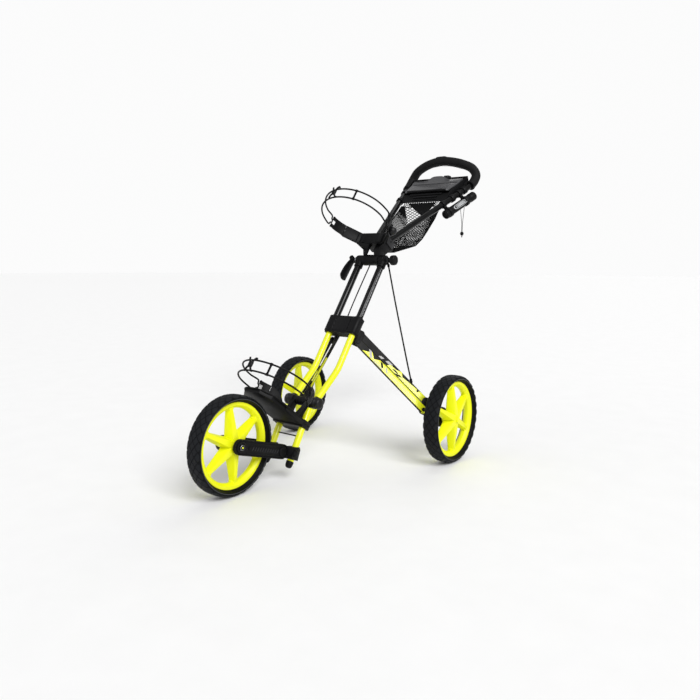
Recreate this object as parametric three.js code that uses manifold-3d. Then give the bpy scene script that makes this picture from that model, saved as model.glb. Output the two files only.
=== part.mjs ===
// Three-wheeled golf push trolley, modelled as separate pieces in millimetres, +Z up.
// X points to the cart's left, -Y forward (front wheel), +Y to the person pushing.
// The origin is on the ground, under the middle of the whole cart.
import * as THREE from 'three';
import { mergeVertices } from 'three/addons/utils/BufferGeometryUtils.js';
import { ConvexGeometry } from 'three/addons/geometries/ConvexGeometry.js';
import Module from 'manifold-3d';

const wasm = await Module();
wasm.setup();

// ---------------------------------------------------------------- driving dimensions
const GAP = 0.4;                      // clearance left between neighbouring pieces
const DEG = Math.PI / 180;
const MIDDLE_Y = -149.3;              // middle of the cart, measured from the rear axle

const WHEEL_R = 150;                  // outer radius of every tyre
const WHEEL_SIDES = 40;
const TYRE_WIDTH = 55;
const RIM_R = 128.4;
const RIM_INNER_R = 111;
const RIM_WIDTH = 28;
const HUB_HALF = 27;
const SPOKE_START = 33;               // angle of the first of the six spokes, from +Y towards +Z
const AXLE_R = 6;
const REAR_WHEEL_X = 344;
const FRONT_WHEEL_Y = -699;
const AXLE_Z = WHEEL_R * Math.cos(Math.PI / WHEEL_SIDES);   // a tread facet rests on the ground

const LEAN = -36.3 * DEG;             // tilt of the main tubes away from vertical
const HINGE = [0, 12.6, 687.5];       // handle hinge at the top of the main tubes
const BARREL_HALF = 34.1;             // half length of the casting's hinge barrel
const BOSS_END = 64;                  // outer faces of the hinge bosses
const BOLT_END = 71;                  // half length of the bolt through the hinge
const TUBE_X = 50;                    // half the distance between the two main tubes
const UPPER_TUBE_R = 12.3;
const MAIN_TUBE_R = 11;
const COLLAR_TOP = -253;
const COLLAR_LOW = -320;

const LEG_PIVOT = [52, 41.5, -308];   // middle of the two leg pivots, in the leaning frame
const LEG_PIVOT_SPLIT = 36.9;         // distance between the two pivots of one leg
const LEG_TURN = 45 * DEG;            // how far the leg linkage is turned outwards
const LEG_DROP = 23 * DEG;            // slope of the bars inside the linkage plane
const BAR_LENGTH = 322;
const BAR_WIDTH = 27;
const BAR_THICK = 9;
const LUG_THICK = 8;
const PIN_R = 4;

const FRONT_PIVOT = [0, -374, 226];   // hinge of the front frame
const FRONT_LEAN = -31.1 * DEG;
const FRONT_ORIGIN = [0, -440, 151.8];
const FRONT_TUBE_X = 48;
const FORK_PITCH = -16.7 * DEG;

const STRAP_R = 2.4;                  // cords of the two bag straps
const CABLE_R = 2.2;                  // brake cables
const CORD_R = 1;                     // lanyard under the umbrella tube

// Each bag hoop is a band bent round a circle, open towards the front of the cart.
const UPPER_HOOP = { centreY: -172, radius: 124, low: 47, high: 82 };
const LOWER_HOOP = { centreY: -145, radius: 117, low: 60, high: 95 };

const HANDLE_TUBE_R = 11.5;
const GRIP_R = 17.5;
const ARM_START = 57;                 // y where the handle arms leave the hinge casting
// The handle arms are straight; these give their middle line and half the distance between them.
const armX = (y) => 38 + (y - 96) * 0.283;
const armZ = (y) => 770 + (y - 96) * 0.554;
const ARM_DIRECTION = new THREE.Vector3(0.2411, 0.8519, 0.4648).normalize();

const UMBRELLA_R = 16.5;
const UMBRELLA_WALL = 3.5;
const TUBE_OFFSET = new THREE.Vector3(30, 0, -31);   // from the left arm to the umbrella tube

// ---------------------------------------------------------------- materials
const finish = (color, roughness, metalness) =>
  new THREE.MeshStandardMaterial({ color, roughness, metalness });
const YELLOW = finish(0xf2f50e, 0.35, 0.0);
const YELLOW_PLASTIC = finish(0xe9ee12, 0.45, 0.0);
const BLACK_METAL = finish(0x16171a, 0.3, 0.4);
const BLACK_PLASTIC = finish(0x26272a, 0.55, 0.0);
const GREY_PLASTIC = finish(0x4a4b4f, 0.4, 0.0);
const RUBBER = finish(0x17181b, 0.85, 0.0);
const FOAM = finish(0x1d1d20, 0.8, 0.0);
const STEEL = finish(0x8d9096, 0.35, 0.9);
const FABRIC = finish(0x1a1a1d, 0.95, 0.0);

// ---------------------------------------------------------------- solid helpers
function toSolid(geometry) {
  const bare = geometry.clone();
  for (const name of Object.keys(bare.attributes)) {
    if (name !== 'position') bare.deleteAttribute(name);
  }
  const merged = mergeVertices(bare, 1e-4);
  const position = merged.attributes.position;
  const source = merged.index.array;
  const corner = (i) => new THREE.Vector3().fromBufferAttribute(position, i);
  const triangles = [];
  let volume = 0;
  for (let i = 0; i < source.length; i += 3) {
    const [a, b, c] = [source[i], source[i + 1], source[i + 2]];
    if (a === b || b === c || c === a) continue;
    triangles.push([a, b, c]);
    volume += corner(a).dot(corner(b).cross(corner(c)));
  }
  const order = volume > 0 ? triangles : triangles.map(([a, b, c]) => [a, c, b]);
  return new wasm.Manifold(new wasm.Mesh({
    numProp: 3,
    vertProperties: new Float32Array(position.array),
    triVerts: new Uint32Array(order.flat()),
  }));
}

function toGeometry(solid) {
  const mesh = solid.getMesh();
  const geometry = new THREE.BufferGeometry();
  geometry.setAttribute('position', new THREE.BufferAttribute(mesh.vertProperties, 3));
  geometry.setIndex(new THREE.BufferAttribute(mesh.triVerts, 1));
  geometry.computeVertexNormals();
  return geometry;
}

const moved = (solid, matrix) => toSolid(toGeometry(solid).applyMatrix4(matrix));
const join = (first, ...rest) => rest.reduce((sum, solid) => sum.add(solid), first);
const cut = (first, ...rest) => rest.reduce((sum, solid) => sum.subtract(solid), first);

function ring(radius, sides, turn = 0) {
  const points = [];
  for (let i = 0; i < sides; i += 1) {
    const angle = turn + (i / sides) * 2 * Math.PI;
    points.push(new THREE.Vector2(radius * Math.cos(angle), radius * Math.sin(angle)));
  }
  return points;
}

function box(x0, x1, y0, y1, z0, z1) {
  const geometry = new THREE.BoxGeometry(x1 - x0, y1 - y0, z1 - z0);
  geometry.translate((x0 + x1) / 2, (y0 + y1) / 2, (z0 + z1) / 2);
  return toSolid(geometry);
}

// A round bar between two points of the local frame.
function rod(from, to, radius, sides = 16, endRadius = radius) {
  const start = new THREE.Vector3(...from);
  const end = new THREE.Vector3(...to);
  const along = end.clone().sub(start);
  const geometry = new THREE.CylinderGeometry(endRadius, radius, along.length(), sides);
  const turn = new THREE.Quaternion().setFromUnitVectors(new THREE.Vector3(0, 1, 0), along.normalize());
  geometry.applyQuaternion(turn);
  geometry.translate(...start.add(end).multiplyScalar(0.5).toArray());
  return toSolid(geometry);
}

const barX = (x0, x1, y, z, radius, sides = 16, endRadius = radius) =>
  rod([x0, y, z], [x1, y, z], radius, sides, endRadius);

function convex(points) {
  return toSolid(new ConvexGeometry(points.map((p) => new THREE.Vector3(...p))));
}

// A round section swept along a smooth curve through the given points.
function sweep(points, radius, sides, steps, innerRadius = 0, innerSides = sides) {
  const shape = new THREE.Shape(ring(radius, sides));
  if (innerRadius > 0) shape.holes.push(new THREE.Path(ring(innerRadius, innerSides).reverse()));
  const curve = new THREE.CatmullRomCurve3(points.map((p) => new THREE.Vector3(...p)));
  return toSolid(new THREE.ExtrudeGeometry(shape, { steps, bevelEnabled: false, extrudePath: curve }));
}

// A flat outline of [x, z] points, made into a plate of the given thickness centred on y.
function plate(outline, thickness, y = 0) {
  const shape = new THREE.Shape(outline.map(([x, z]) => new THREE.Vector2(x, z)));
  const geometry = new THREE.ExtrudeGeometry(shape, { depth: thickness, bevelEnabled: false });
  geometry.rotateX(90 * DEG);
  geometry.translate(0, y + thickness / 2, 0);
  return toSolid(geometry);
}

// The outline of a bar with two round ends, from x = 0 to x = length.
function slotOutline(length, radius, steps = 8) {
  const outline = [];
  for (let i = 0; i <= steps; i += 1) {
    const angle = -Math.PI / 2 + (i / steps) * Math.PI;
    outline.push([length + radius * Math.cos(angle), radius * Math.sin(angle)]);
  }
  for (let i = 0; i <= steps; i += 1) {
    const angle = Math.PI / 2 + (i / steps) * Math.PI;
    outline.push([radius * Math.cos(angle), radius * Math.sin(angle)]);
  }
  return outline;
}

// A band bent round a circle in the x-y plane, open at the back (+y centre), from z0 to z1.
function arcBand(centreY, inner, outer, from, to, z0, z1, steps) {
  const outline = [];
  const at = (radius, angle) =>
    new THREE.Vector2(radius * Math.sin(angle), centreY + radius * Math.cos(angle));
  for (let i = 0; i <= steps; i += 1) outline.push(at(outer, from + ((to - from) * i) / steps));
  for (let i = steps; i >= 0; i -= 1) outline.push(at(inner, from + ((to - from) * i) / steps));
  const shape = new THREE.Shape(outline);
  const geometry = new THREE.ExtrudeGeometry(shape, { depth: z1 - z0, bevelEnabled: false });
  geometry.translate(0, 0, z0);
  return toSolid(geometry);
}

function addPiece(parent, name, solid, material) {
  const mesh = new THREE.Mesh(toGeometry(solid), material);
  mesh.name = name;
  parent.add(mesh);
  return mesh;
}

function addFrame(parent, position, rotation = [0, 0, 0]) {
  const group = new THREE.Group();
  group.position.set(...position);
  group.rotation.set(...rotation);
  parent.add(group);
  return group;
}

// The two sides of the cart: left has x above zero.
const SIDES = [['left', 1], ['right', -1]];

const trolley = new THREE.Group();
const cart = addFrame(trolley, [0, -MIDDLE_Y, 0]);
const leaning = addFrame(cart, HINGE, [LEAN, 0, 0]);

// ---------------------------------------------------------------- main frame
function addMainTubes() {
  for (const [side, s] of SIDES) {
    const x = s * TUBE_X;
    const upper = rod([x, 0, -285], [x, 0, -10], UPPER_TUBE_R, 16);
    addPiece(leaning, `upper_tube_${side}`, upper, BLACK_METAL);

    const cap = barX(s * (BARREL_HALF + GAP), s * BOSS_END, 0, 0, 18, 20);
    const socket = rod([x, 0, -32], [x, 0, -4], 15.5, 16);
    const bore = rod([x, 0, -40], [x, 0, -9.4], UPPER_TUBE_R + GAP, 16);
    const boltHole = barX(s * 30, s * 70, 0, 0, PIN_R + GAP, 12);
    addPiece(leaning, `hinge_boss_${side}`, cut(join(cap, socket), bore, boltHole), BLACK_PLASTIC);

    const path = [[x, 0, -287], [x, 0.5, -350], [x, 1.4, -425], [x, 0.8, -451],
      [s * 49.7, -4.1, -476], [s * 49, -18, -527], [s * 48, -33.1, -582]];
    const tube = sweep(path, MAIN_TUBE_R, 12, 16);
    addPiece(leaning, `main_tube_${side}`, tube, YELLOW);
  }
}

// The hinge bolt, with the round seat of the clamp lever fixed on its right end.
function addHingeBolt() {
  const shank = barX(-BOLT_END, BOLT_END, 0, 0, PIN_R, 12);
  const seat = barX(-BOLT_END, -BOLT_END + 5, 0, 0, 12, 20);
  addPiece(leaning, 'hinge_bolt', join(shank, seat), STEEL);
}

function legLug(s) {
  const pivot = LEG_PIVOT_SPLIT / 2;
  const reach = 34;
  const outline = [[-reach, -pivot - 12], ...slotSide(pivot, 12.5), [-reach, pivot + 12]];
  const pins = [-1, 1].map((level) => {
    const outward = s * level;
    const inner = outward * (LUG_THICK / 2 - 1);
    const face = outward * (LUG_THICK / 2 + BAR_THICK + 2 * GAP);
    const head = outward * (LUG_THICK / 2 + BAR_THICK + 2 * GAP + 2.5);
    const z = level * pivot;
    return join(rod([0, inner, z], [0, face, z], PIN_R, 12), rod([0, face, z], [0, head, z], 7, 12));
  });
  return join(plate(outline, LUG_THICK), ...pins);
}

// The round outer end of a lug that holds two pivots, one above the other.
function slotSide(half, radius) {
  const points = [];
  for (let i = 0; i <= 6; i += 1) {
    const angle = -Math.PI / 2 + (i / 6) * (Math.PI / 2);
    points.push([radius * Math.cos(angle), -half + radius * Math.sin(angle)]);
  }
  for (let i = 0; i <= 6; i += 1) {
    const angle = (i / 6) * (Math.PI / 2);
    points.push([radius * Math.cos(angle), half + radius * Math.sin(angle)]);
  }
  return points;
}

// Turns a solid from the linkage plane of one leg into the leaning frame.
function placeInLegPlane(solid, s) {
  const turn = s > 0 ? LEG_TURN : Math.PI - LEG_TURN;
  const matrix = new THREE.Matrix4().makeRotationZ(turn);
  matrix.setPosition(s * LEG_PIVOT[0], LEG_PIVOT[1], LEG_PIVOT[2]);
  return moved(solid, matrix);
}

function addCollar() {
  const halfX = 68;
  const halfY = 17;
  let collar = convex([-1, 1].flatMap((s) => [
    [s * halfX, -halfY + 5, COLLAR_TOP], [s * halfX, halfY - 5, COLLAR_TOP],
    [s * (halfX - 6), -halfY, COLLAR_TOP], [s * (halfX - 6), halfY, COLLAR_TOP],
    [s * (halfX - 4), -halfY + 5, COLLAR_LOW], [s * (halfX - 4), halfY - 5, COLLAR_LOW],
    [s * (halfX - 10), -halfY, COLLAR_LOW], [s * (halfX - 10), halfY, COLLAR_LOW],
  ]));
  for (const z of [-270, -286, -302]) {
    collar = cut(collar, box(-52, 52, -halfY - 5, -halfY + 2, z - 2.5, z + 2.5));
  }
  for (const [, s] of SIDES) {
    collar = join(collar, placeInLegPlane(legLug(s), s));
  }
  for (const [, s] of SIDES) {
    const x = s * TUBE_X;
    collar = cut(
      collar,
      rod([x, 0, -286], [x, 0, -240], UPPER_TUBE_R + GAP, 16),
      rod([x, 0.6, -340], [x, -0.2, -286], MAIN_TUBE_R + 1, 16),
    );
  }
  const cableHole = rod([0, 0, -275], [0, 0, -240], CABLE_R + 1.4, 10);
  addPiece(leaning, 'leg_collar', cut(collar, cableHole), BLACK_PLASTIC);
}

// Each main tube ends in a round knuckle that carries the front frame's hinge.
function addFrontKnuckles() {
  const [, y, z] = FRONT_PIVOT;
  for (const [side, s] of SIDES) {
    const drum = barX(s * 38, s * 70, y, z, 19, 20);
    const dome = barX(s * 69.9, s * 75, y, z, 19, 20, 13);
    const boltHole = barX(s * 30, s * 60, y, z, PIN_R + GAP, 12);
    addPiece(cart, `front_knuckle_${side}`, cut(join(drum, dome), boltHole), GREY_PLASTIC);
  }
}

// ---------------------------------------------------------------- brake cables
function addBrakeCables() {
  const outer = [
    [67, 22, 664], [71, 21, 650], [107, 4, 545], [158, -19, 402], [195, -35, 300], [206, -40, 273],
  ];
  addPiece(cart, 'brake_cable_left', sweep(outer, CABLE_R, 6, 20), RUBBER);
  const inner = [[0, 0, -23], [0.5, -1.5, -60], [0, -2.5, -150], [-0.5, -1.5, -230], [0, 0, -272]];
  addPiece(leaning, 'brake_cable_middle', sweep(inner, CABLE_R, 6, 14), RUBBER);
}

// ---------------------------------------------------------------- clamp lever and knob
// The lever turns about an eye across its top end, at x = -84 in the leaning frame.
function addClampLever() {
  const paddle = convex([
    [-76, 6, 8], [-86, 6, 6], [-76, -14, 8], [-86, -14, 6],
    [-76, -2, -104], [-82, -2, -104], [-76, -38, -100], [-82, -38, -100],
    [-76, -44, -88], [-84, -44, -88], [-76, 4, -88], [-84, 4, -88],
    [-76, -30, -20], [-90, -24, -20], [-76, 8, -14], [-90, 6, -14],
  ]);
  const eye = rod([-84, -20, 0], [-84, 10, 0], 8, 16);
  addPiece(leaning, 'clamp_lever', join(paddle, eye), BLACK_PLASTIC);
}

function addBrakeKnob() {
  const shaft = barX(72, 84, 0, 0, 9, 14);
  const grip = barX(83, 100, 0, 0, 19, 18);
  const face = barX(99.5, 104, 0, 0, 19, 18, 14);
  addPiece(leaning, 'brake_knob', join(shaft, grip, face), BLACK_PLASTIC);
}

// ---------------------------------------------------------------- bag cradles
function addBuckle(parent, name, { centreY, radius, low, high }, lean) {
  const outside = radius + STRAP_R + GAP + 0.6;
  const body = convex([-1, 1].flatMap((s) => [
    [s * 17, -outside, low - 6], [s * 17, -outside, high + 6],
    [s * 13, -outside - 9, low - 2], [s * 13, -outside - 9, high + 2],
  ]));
  const mesh = addPiece(parent, name, body, BLACK_PLASTIC);
  mesh.rotation.z = lean;
  mesh.position.set(0, centreY, 0);
}

function addStrapEnds(parent, prefix, hoop, from, to) {
  for (const [side, s] of SIDES) {
    const band = arcBand(hoop.centreY, hoop.radius - 2.5, hoop.radius + 3, s * from, s * to,
      hoop.low - 4, hoop.high + 4, 5);
    const notch = arcBand(hoop.centreY, hoop.radius - 9, hoop.radius + 9, s * (to - 6 * DEG),
      s * (to + 4 * DEG), hoop.low + 7, hoop.high - 7, 2);
    addPiece(parent, `${prefix}_${side}`, cut(band, notch), RUBBER);
  }
}

// The round space a bag takes up inside a hoop, cut just behind the inside face of the band.
function bagSpace({ centreY, radius }) {
  const space = new THREE.CylinderGeometry(radius + 1.2, radius + 1.2, 400, 48);
  space.rotateX(90 * DEG);
  space.translate(0, centreY, 60);
  return toSolid(space);
}

// A wall standing on a path round the hoop: each stop gives [degrees, inside radius, bottom, top].
function hoopWall(centreY, stops, thickness) {
  let wall = null;
  for (let i = 0; i + 1 < stops.length; i += 1) {
    const corners = [stops[i], stops[i + 1]].flatMap(([degrees, inside, bottom, top]) => {
      const angle = degrees * DEG;
      return [inside, inside + thickness].flatMap((reach) => [bottom, top].map(
        (z) => [reach * Math.sin(angle), centreY + reach * Math.cos(angle), z],
      ));
    });
    const part = convex(corners);
    wall = wall ? join(wall, part) : part;
  }
  return wall;
}

// The upper band has three flat faces: a straight middle and two wings turned in towards the bag.
const UPPER_BEND = 23;
const UPPER_END = 52;

function addUpperCradle() {
  const { centreY, radius, low, high } = UPPER_HOOP;
  const bendRadius = radius / Math.cos(UPPER_BEND * DEG);
  const stops = [
    [-UPPER_END, radius], [-UPPER_BEND, bendRadius], [UPPER_BEND, bendRadius], [UPPER_END, radius],
  ].map(([degrees, inside]) => [degrees, inside, low - 5, high + 6]);
  const band = hoopWall(centreY, stops, 7);
  const web = convex([
    [-46, -52, low - 4], [46, -52, low - 4], [-46, -52, high], [46, -52, high],
    [-40, -28.4, low + 16], [40, -28.4, low + 16], [-40, -28.4, high], [40, -28.4, high],
  ]);
  addPiece(leaning, 'upper_bag_cradle', join(band, cut(web, bagSpace(UPPER_HOOP))), BLACK_PLASTIC);
  addStrapEnds(leaning, 'upper_strap_end', UPPER_HOOP, 52.6 * DEG, 80 * DEG);
  addStrapLoop(leaning, 'upper_strap', UPPER_HOOP, 83.8 * DEG);
  addBuckle(leaning, 'upper_strap_buckle', UPPER_HOOP, -8 * DEG);
}

// Two cords run round the front of the bag and hook through the slots at both strap ends.
function addStrapLoop(parent, name, hoop, lift) {
  const { centreY, radius, low, high } = hoop;
  const count = 12;
  const hook = { reach: 9, inset: 12.5 };
  const cordAt = (t, z) => {
    const angle = lift + (2 * Math.PI - 2 * lift) * t;
    return [radius * Math.sin(angle), centreY + radius * Math.cos(angle), z];
  };
  const points = [];
  for (let i = 0; i <= count; i += 1) points.push(cordAt(i / count, low));
  const [farX, endY] = cordAt(1, low);
  points.push([farX, endY + 2.5, low + 9.5], [farX, endY + hook.reach, low + hook.inset]);
  points.push([farX, endY + hook.reach, high - hook.inset], [farX, endY + 2.5, high - 9.5]);
  for (let i = count; i >= 0; i -= 1) points.push(cordAt(i / count, high));
  points.push([-farX, endY + 2.5, high - 9.5], [-farX, endY + hook.reach, high - hook.inset]);
  points.push([-farX, endY + hook.reach, low + hook.inset], [-farX, endY + 2.5, low + 9.5]);
  const curve = new THREE.CatmullRomCurve3(points.map((p) => new THREE.Vector3(...p)), true);
  addPiece(parent, name, toSolid(new THREE.TubeGeometry(curve, 66, STRAP_R, 5, true)), RUBBER);
}

// The casting that hinges on the bolt: a barrel, a neck and the socket for the two handle arms.
function addHingeCasting() {
  const barrel = barX(-BARREL_HALF, BARREL_HALF, 0, 0, 20, 24);
  const neck = convex([7, BARREL_HALF].flatMap((x) => [
    [x, -34, 22], [x, -18, 8], [x, 18, 8], [x, -28, 62], [x, 20, 62],
  ]));
  const front = convex([-BARREL_HALF, 10].flatMap((x) => [
    [x, -32, 22], [x, -18, 8], [x, -12, 8], [x, -28, 62], [x, -19, 62],
  ]));
  const flare = convex([8, BARREL_HALF].flatMap((x) => [[x, -31, 38], [x, 19, 38]]).concat([
    [8, -27, 61], [8, 24, 61], [44, -27, 61], [44, 24, 61],
  ]));
  const gusset = convex([[-BARREL_HALF, -31, 36], [-BARREL_HALF, -21, 36], [-44, -27, 61],
    [-44, -17, 61], [-20, -28, 61], [-20, -18, 61]]);
  const socket = box(-45, 45, -27, 34, 60, 99);
  const window = convex([
    [-3, -60, 26], [-3, 7, 26], [4, -60, 24], [4, 7, 24],
    [-17, -60, 55], [-17, 7, 55], [5, -60, 55], [5, 7, 55],
  ]);
  const bores = SIDES.map(([, s]) => {
    const from = besideArm(ARM_START - 2);
    const to = besideArm(ARM_START + 80);
    const bore = rod([s * from.x, from.y, from.z], [s * to.x, to.y, to.z], HANDLE_TUBE_R + 0.8, 18);
    return moved(bore, cartToLean);
  });
  const boltHole = barX(-50, 50, 0, 0, PIN_R + GAP, 12);
  const solid = cut(join(barrel, neck, front, flare, gusset, socket), window, ...bores, boltHole);
  addPiece(leaning, 'hinge_casting', solid, BLACK_PLASTIC);
}

// ---------------------------------------------------------------- handle
// One half of the handle's path in the cart frame, from the socket up to the crown.
const HANDLE_PATH = [
  ...[ARM_START, 130, 240, 350, 440, 480].map((y) => [armX(y), y, armZ(y)]),
  [152, 513, 1007], [149.5, 536, 1036], [131, 538, 1063], [94, 529, 1082], [48, 520, 1095], [0, 516, 1100],
];
const GRIP_START = 6;                 // index of the path point where the grip begins

const cartToLean = new THREE.Matrix4()
  .makeRotationX(LEAN)
  .setPosition(new THREE.Vector3(...HINGE))
  .invert();

function bothHalves(half) {
  const other = half.slice(0, -1).map(([x, y, z]) => [-x, y, z]);
  return [...half, ...other.reverse()];
}

const handleTube = (radius, sides) => sweep(bothHalves(HANDLE_PATH), radius, sides, 52);

function addHandle() {
  addPiece(cart, 'handle_tube', handleTube(HANDLE_TUBE_R, 9), BLACK_METAL);
  const curve = new THREE.CatmullRomCurve3(bothHalves(HANDLE_PATH).map((p) => new THREE.Vector3(...p)));
  const first = GRIP_START / (2 * (HANDLE_PATH.length - 1));
  const points = [];
  const count = 40;
  for (let i = 0; i <= count; i += 1) {
    const t = first + ((1 - 2 * first) * i) / count;
    points.push(curve.getPoint(t).toArray());
  }
  const grip = sweep(points, GRIP_R, 12, 30, HANDLE_TUBE_R + 2.6, 8);
  addPiece(cart, 'handle_grip', grip, FOAM);
}

function addConsole() {
  const inside = (y, inset) => armX(y) - HANDLE_TUBE_R - 4.5 - inset;
  const wall = (inset) => [-1, 1].flatMap((s) => [
    [s * inside(372, inset), 372 + inset, 921 + inset],
    [s * inside(397, inset), 397 + inset, 964],
    [s * inside(475, inset), 504 - inset, 1030], [s * inside(475, inset), 516 - inset, 1004],
    [s * inside(440, inset), 445, 938 + inset],
  ]);
  const opening = [-1, 1].flatMap((s) => [
    [s * inside(397, 4), 400, 940], [s * inside(475, 4), 500, 990],
    [s * inside(397, 4), 384, 975], [s * inside(475, 4), 484, 1050],
  ]);
  const tray = cut(convex(wall(0)), join(convex(wall(4)), convex(opening)));
  addPiece(cart, 'console_tray', tray, BLACK_PLASTIC);
}

function addLid() {
  const thick = 5;
  const corners = (lift) => [-1, 1].flatMap((s) => [
    [s * 100, 394, 966 + lift], [s * 115, 490, 1012 + lift],
  ]);
  const panel = convex([...corners(0), ...corners(thick)]);
  const crown = convex([-1, 1].flatMap((s) => [
    [s * 62, 489, 1014], [s * 58, 491, 1034], [s * 40, 494, 1042],
    [s * 56, 456, 998], [s * 30, 458, 1001],
  ]));
  const roll = barX(-90, 90, 392, 968, 5, 10);
  const latch = join(box(28, 46, 486, 518, 1031.5, 1037), box(28, 46, 512.5, 518, 1014, 1037));
  addPiece(cart, 'console_lid', join(panel, crown, roll, latch), GREY_PLASTIC);
}

function addBasket() {
  const shell = (inset) => {
    const half = (y) => armX(y) - HANDLE_TUBE_R - 3 - inset;
    return [-1, 1].flatMap((s) => [
      [s * half(134), 124 + inset, 784], [s * half(362), 366 - inset, 908],
      [s * (27 - inset), 124 + inset, 717 + inset], [s * (36 - inset), 262, 743 + inset],
      [s * (42 - inset), 302 - inset, 770 + inset], [s * (50 - inset), 331 - inset, 804 + inset],
      [s * (70 - inset), 354 - inset, 852 + inset],
    ]);
  };
  const mouth = [-1, 1].flatMap((s) => [
    [s * (armX(134) - 18), 130, 760], [s * (armX(362) - 18), 350, 880],
    [s * (armX(134) - 18), 110, 830], [s * (armX(362) - 18), 330, 950],
  ]);
  const net = cut(convex(shell(0)), join(convex(shell(4)), convex(mouth)));
  addPiece(cart, 'storage_net', net, FABRIC);
}

// A point on the left handle arm, or on the umbrella tube beside it when offset is 1.
function besideArm(y, offset = 0) {
  return new THREE.Vector3(armX(y), y, armZ(y)).addScaledVector(TUBE_OFFSET, offset);
}

function addUmbrellaHolder() {
  const from = besideArm(318, 1).toArray();
  const to = besideArm(470, 1).toArray();
  const floor = besideArm(334, 1).toArray();
  const beyond = besideArm(480, 1).toArray();
  const bore = rod(floor, beyond, UMBRELLA_R - UMBRELLA_WALL, 18);
  const tube = cut(rod(from, to, UMBRELLA_R, 18), bore);
  addPiece(cart, 'umbrella_tube', tube, BLACK_PLASTIC);
  const clear = GAP + 0.3;
  for (const [name, y] of [['low', 340], ['high', 425]]) {
    const halfWidth = 7;
    const near = besideArm(y, 0);
    const far = besideArm(y, 1);
    const ends = (point, reach) => [-reach, reach].map((r) =>
      point.clone().addScaledVector(ARM_DIRECTION, r).toArray());
    const web = rod(near.toArray(), far.toArray(), 8, 12);
    const armRing = rod(...ends(near, halfWidth), HANDLE_TUBE_R + 3.5, 14);
    const tubeRing = rod(...ends(far, halfWidth), UMBRELLA_R + 3, 18);
    const holder = cut(
      join(web, armRing, tubeRing),
      rod(...ends(near, 30), HANDLE_TUBE_R + clear, 14),
      rod(...ends(far, 60), UMBRELLA_R + clear, 18),
    );
    addPiece(cart, `umbrella_bracket_${name}`, holder, BLACK_PLASTIC);
  }
}

// A thin cord loop hangs from the umbrella tube: its two runs meet, go down side by side,
// and pass through a bead just above the end of the loop.
const LANYARD = { from: 400, to: 420, top: 20.4, meet: 62, drop: 99, apart: 2.6 };

function lanyardPath() {
  const middle = besideArm((LANYARD.from + LANYARD.to) / 2, 1);
  middle.z -= LANYARD.top + LANYARD.meet;
  const { x, y, z } = middle;
  const low = z + LANYARD.meet - LANYARD.drop;
  const run = (startY, side) => {
    const start = besideArm(startY, 1);
    start.z -= LANYARD.top;
    const end = new THREE.Vector3(x, y + side * LANYARD.apart, z);
    const slope = [0, 0.12, 0.4, 0.7, 0.9, 1].map((t) => start.clone().lerp(end, t).toArray());
    return [...slope, [end.x, end.y, (z + low) / 2], [end.x, end.y, low]];
  };
  const loop = [[x, y - 3, low - 10], [x, y, low - 15], [x, y + 3, low - 10]];
  return [...run(LANYARD.from, -1), ...loop, ...run(LANYARD.to, 1).reverse()];
}

function addLanyard() {
  const path = lanyardPath();
  const steps = 46;
  addPiece(cart, 'lanyard', sweep(path, CORD_R, 8, steps), RUBBER);
  const middle = besideArm((LANYARD.from + LANYARD.to) / 2, 1);
  const level = middle.z - LANYARD.top - LANYARD.drop;
  const bead = rod([middle.x, middle.y, level - 7], [middle.x, middle.y, level + 7], 7, 12);
  const passage = sweep(path, CORD_R + GAP + 0.2, 6, steps);
  addPiece(cart, 'lanyard_bead', cut(bead, passage), BLACK_PLASTIC);
}

// ---------------------------------------------------------------- wheels
// Geometry of a wheel about the X axis, with its middle at the origin; the outside faces +X.
function turned(profile) {
  const points = profile.map(([x, r]) => new THREE.Vector2(r, x));
  points.push(points[0].clone());
  const half = Math.PI / WHEEL_SIDES;
  const geometry = new THREE.LatheGeometry(points, WHEEL_SIDES, half);
  geometry.rotateZ(-90 * DEG);
  return toSolid(geometry);
}

function spoke(angle) {
  const across = new THREE.Vector3(0, -Math.sin(angle), Math.cos(angle));
  const out = new THREE.Vector3(0, Math.cos(angle), Math.sin(angle));
  const section = (radius, half, back, edge, ridge) => [[-half, -back], [half, -back],
    [-half, edge], [half, edge], [0, ridge]].map(([t, x]) => {
    const point = out.clone().multiplyScalar(radius).addScaledVector(across, t);
    return [x, point.y, point.z];
  });
  return convex([...section(14, 17, 16, 9, 24), ...section(112.5, 7.5, 9, 4, 11)]);
}

function makeTyre() {
  const half = TYRE_WIDTH / 2;
  const bead = RIM_WIDTH / 2 - 1;
  const base = RIM_R + GAP;
  return turned([[-bead, base], [bead, base], [half, base + 9],
    [half - 4, WHEEL_R - 4], [11, WHEEL_R], [-11, WHEEL_R], [-half + 4, WHEEL_R - 4],
    [-half, base + 9]]);
}

function makeRim() {
  const half = RIM_WIDTH / 2;
  const hoop = turned([[-half, RIM_R], [half, RIM_R], [half, RIM_INNER_R], [-half, RIM_INNER_R]]);
  const hub = barX(-HUB_HALF, HUB_HALF, 0, 0, 19, 16);
  let rim = join(hoop, hub);
  for (let i = 0; i < 6; i += 1) rim = join(rim, spoke((SPOKE_START + i * 60) * DEG));
  return cut(rim, barX(-50, 50, 0, 0, AXLE_R + GAP, 14));
}

const tyre = makeTyre();
const rim = makeRim();
const mirror = new THREE.Matrix4().makeScale(-1, 1, 1);

function addWheel(parent, name, s) {
  addPiece(parent, `${name}_rim`, s > 0 ? rim : moved(rim, mirror), YELLOW_PLASTIC);
  addPiece(parent, `${name}_tyre`, tyre, RUBBER);
}

// ---------------------------------------------------------------- rear legs
function makeBar() {
  const outline = slotOutline(BAR_LENGTH, BAR_WIDTH / 2);
  const bar = plate(outline, BAR_THICK);
  const holes = [0, BAR_LENGTH].map((x) =>
    rod([x, -20, 0], [x, 20, 0], PIN_R + GAP, 12));
  return cut(bar, ...holes);
}

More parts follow.
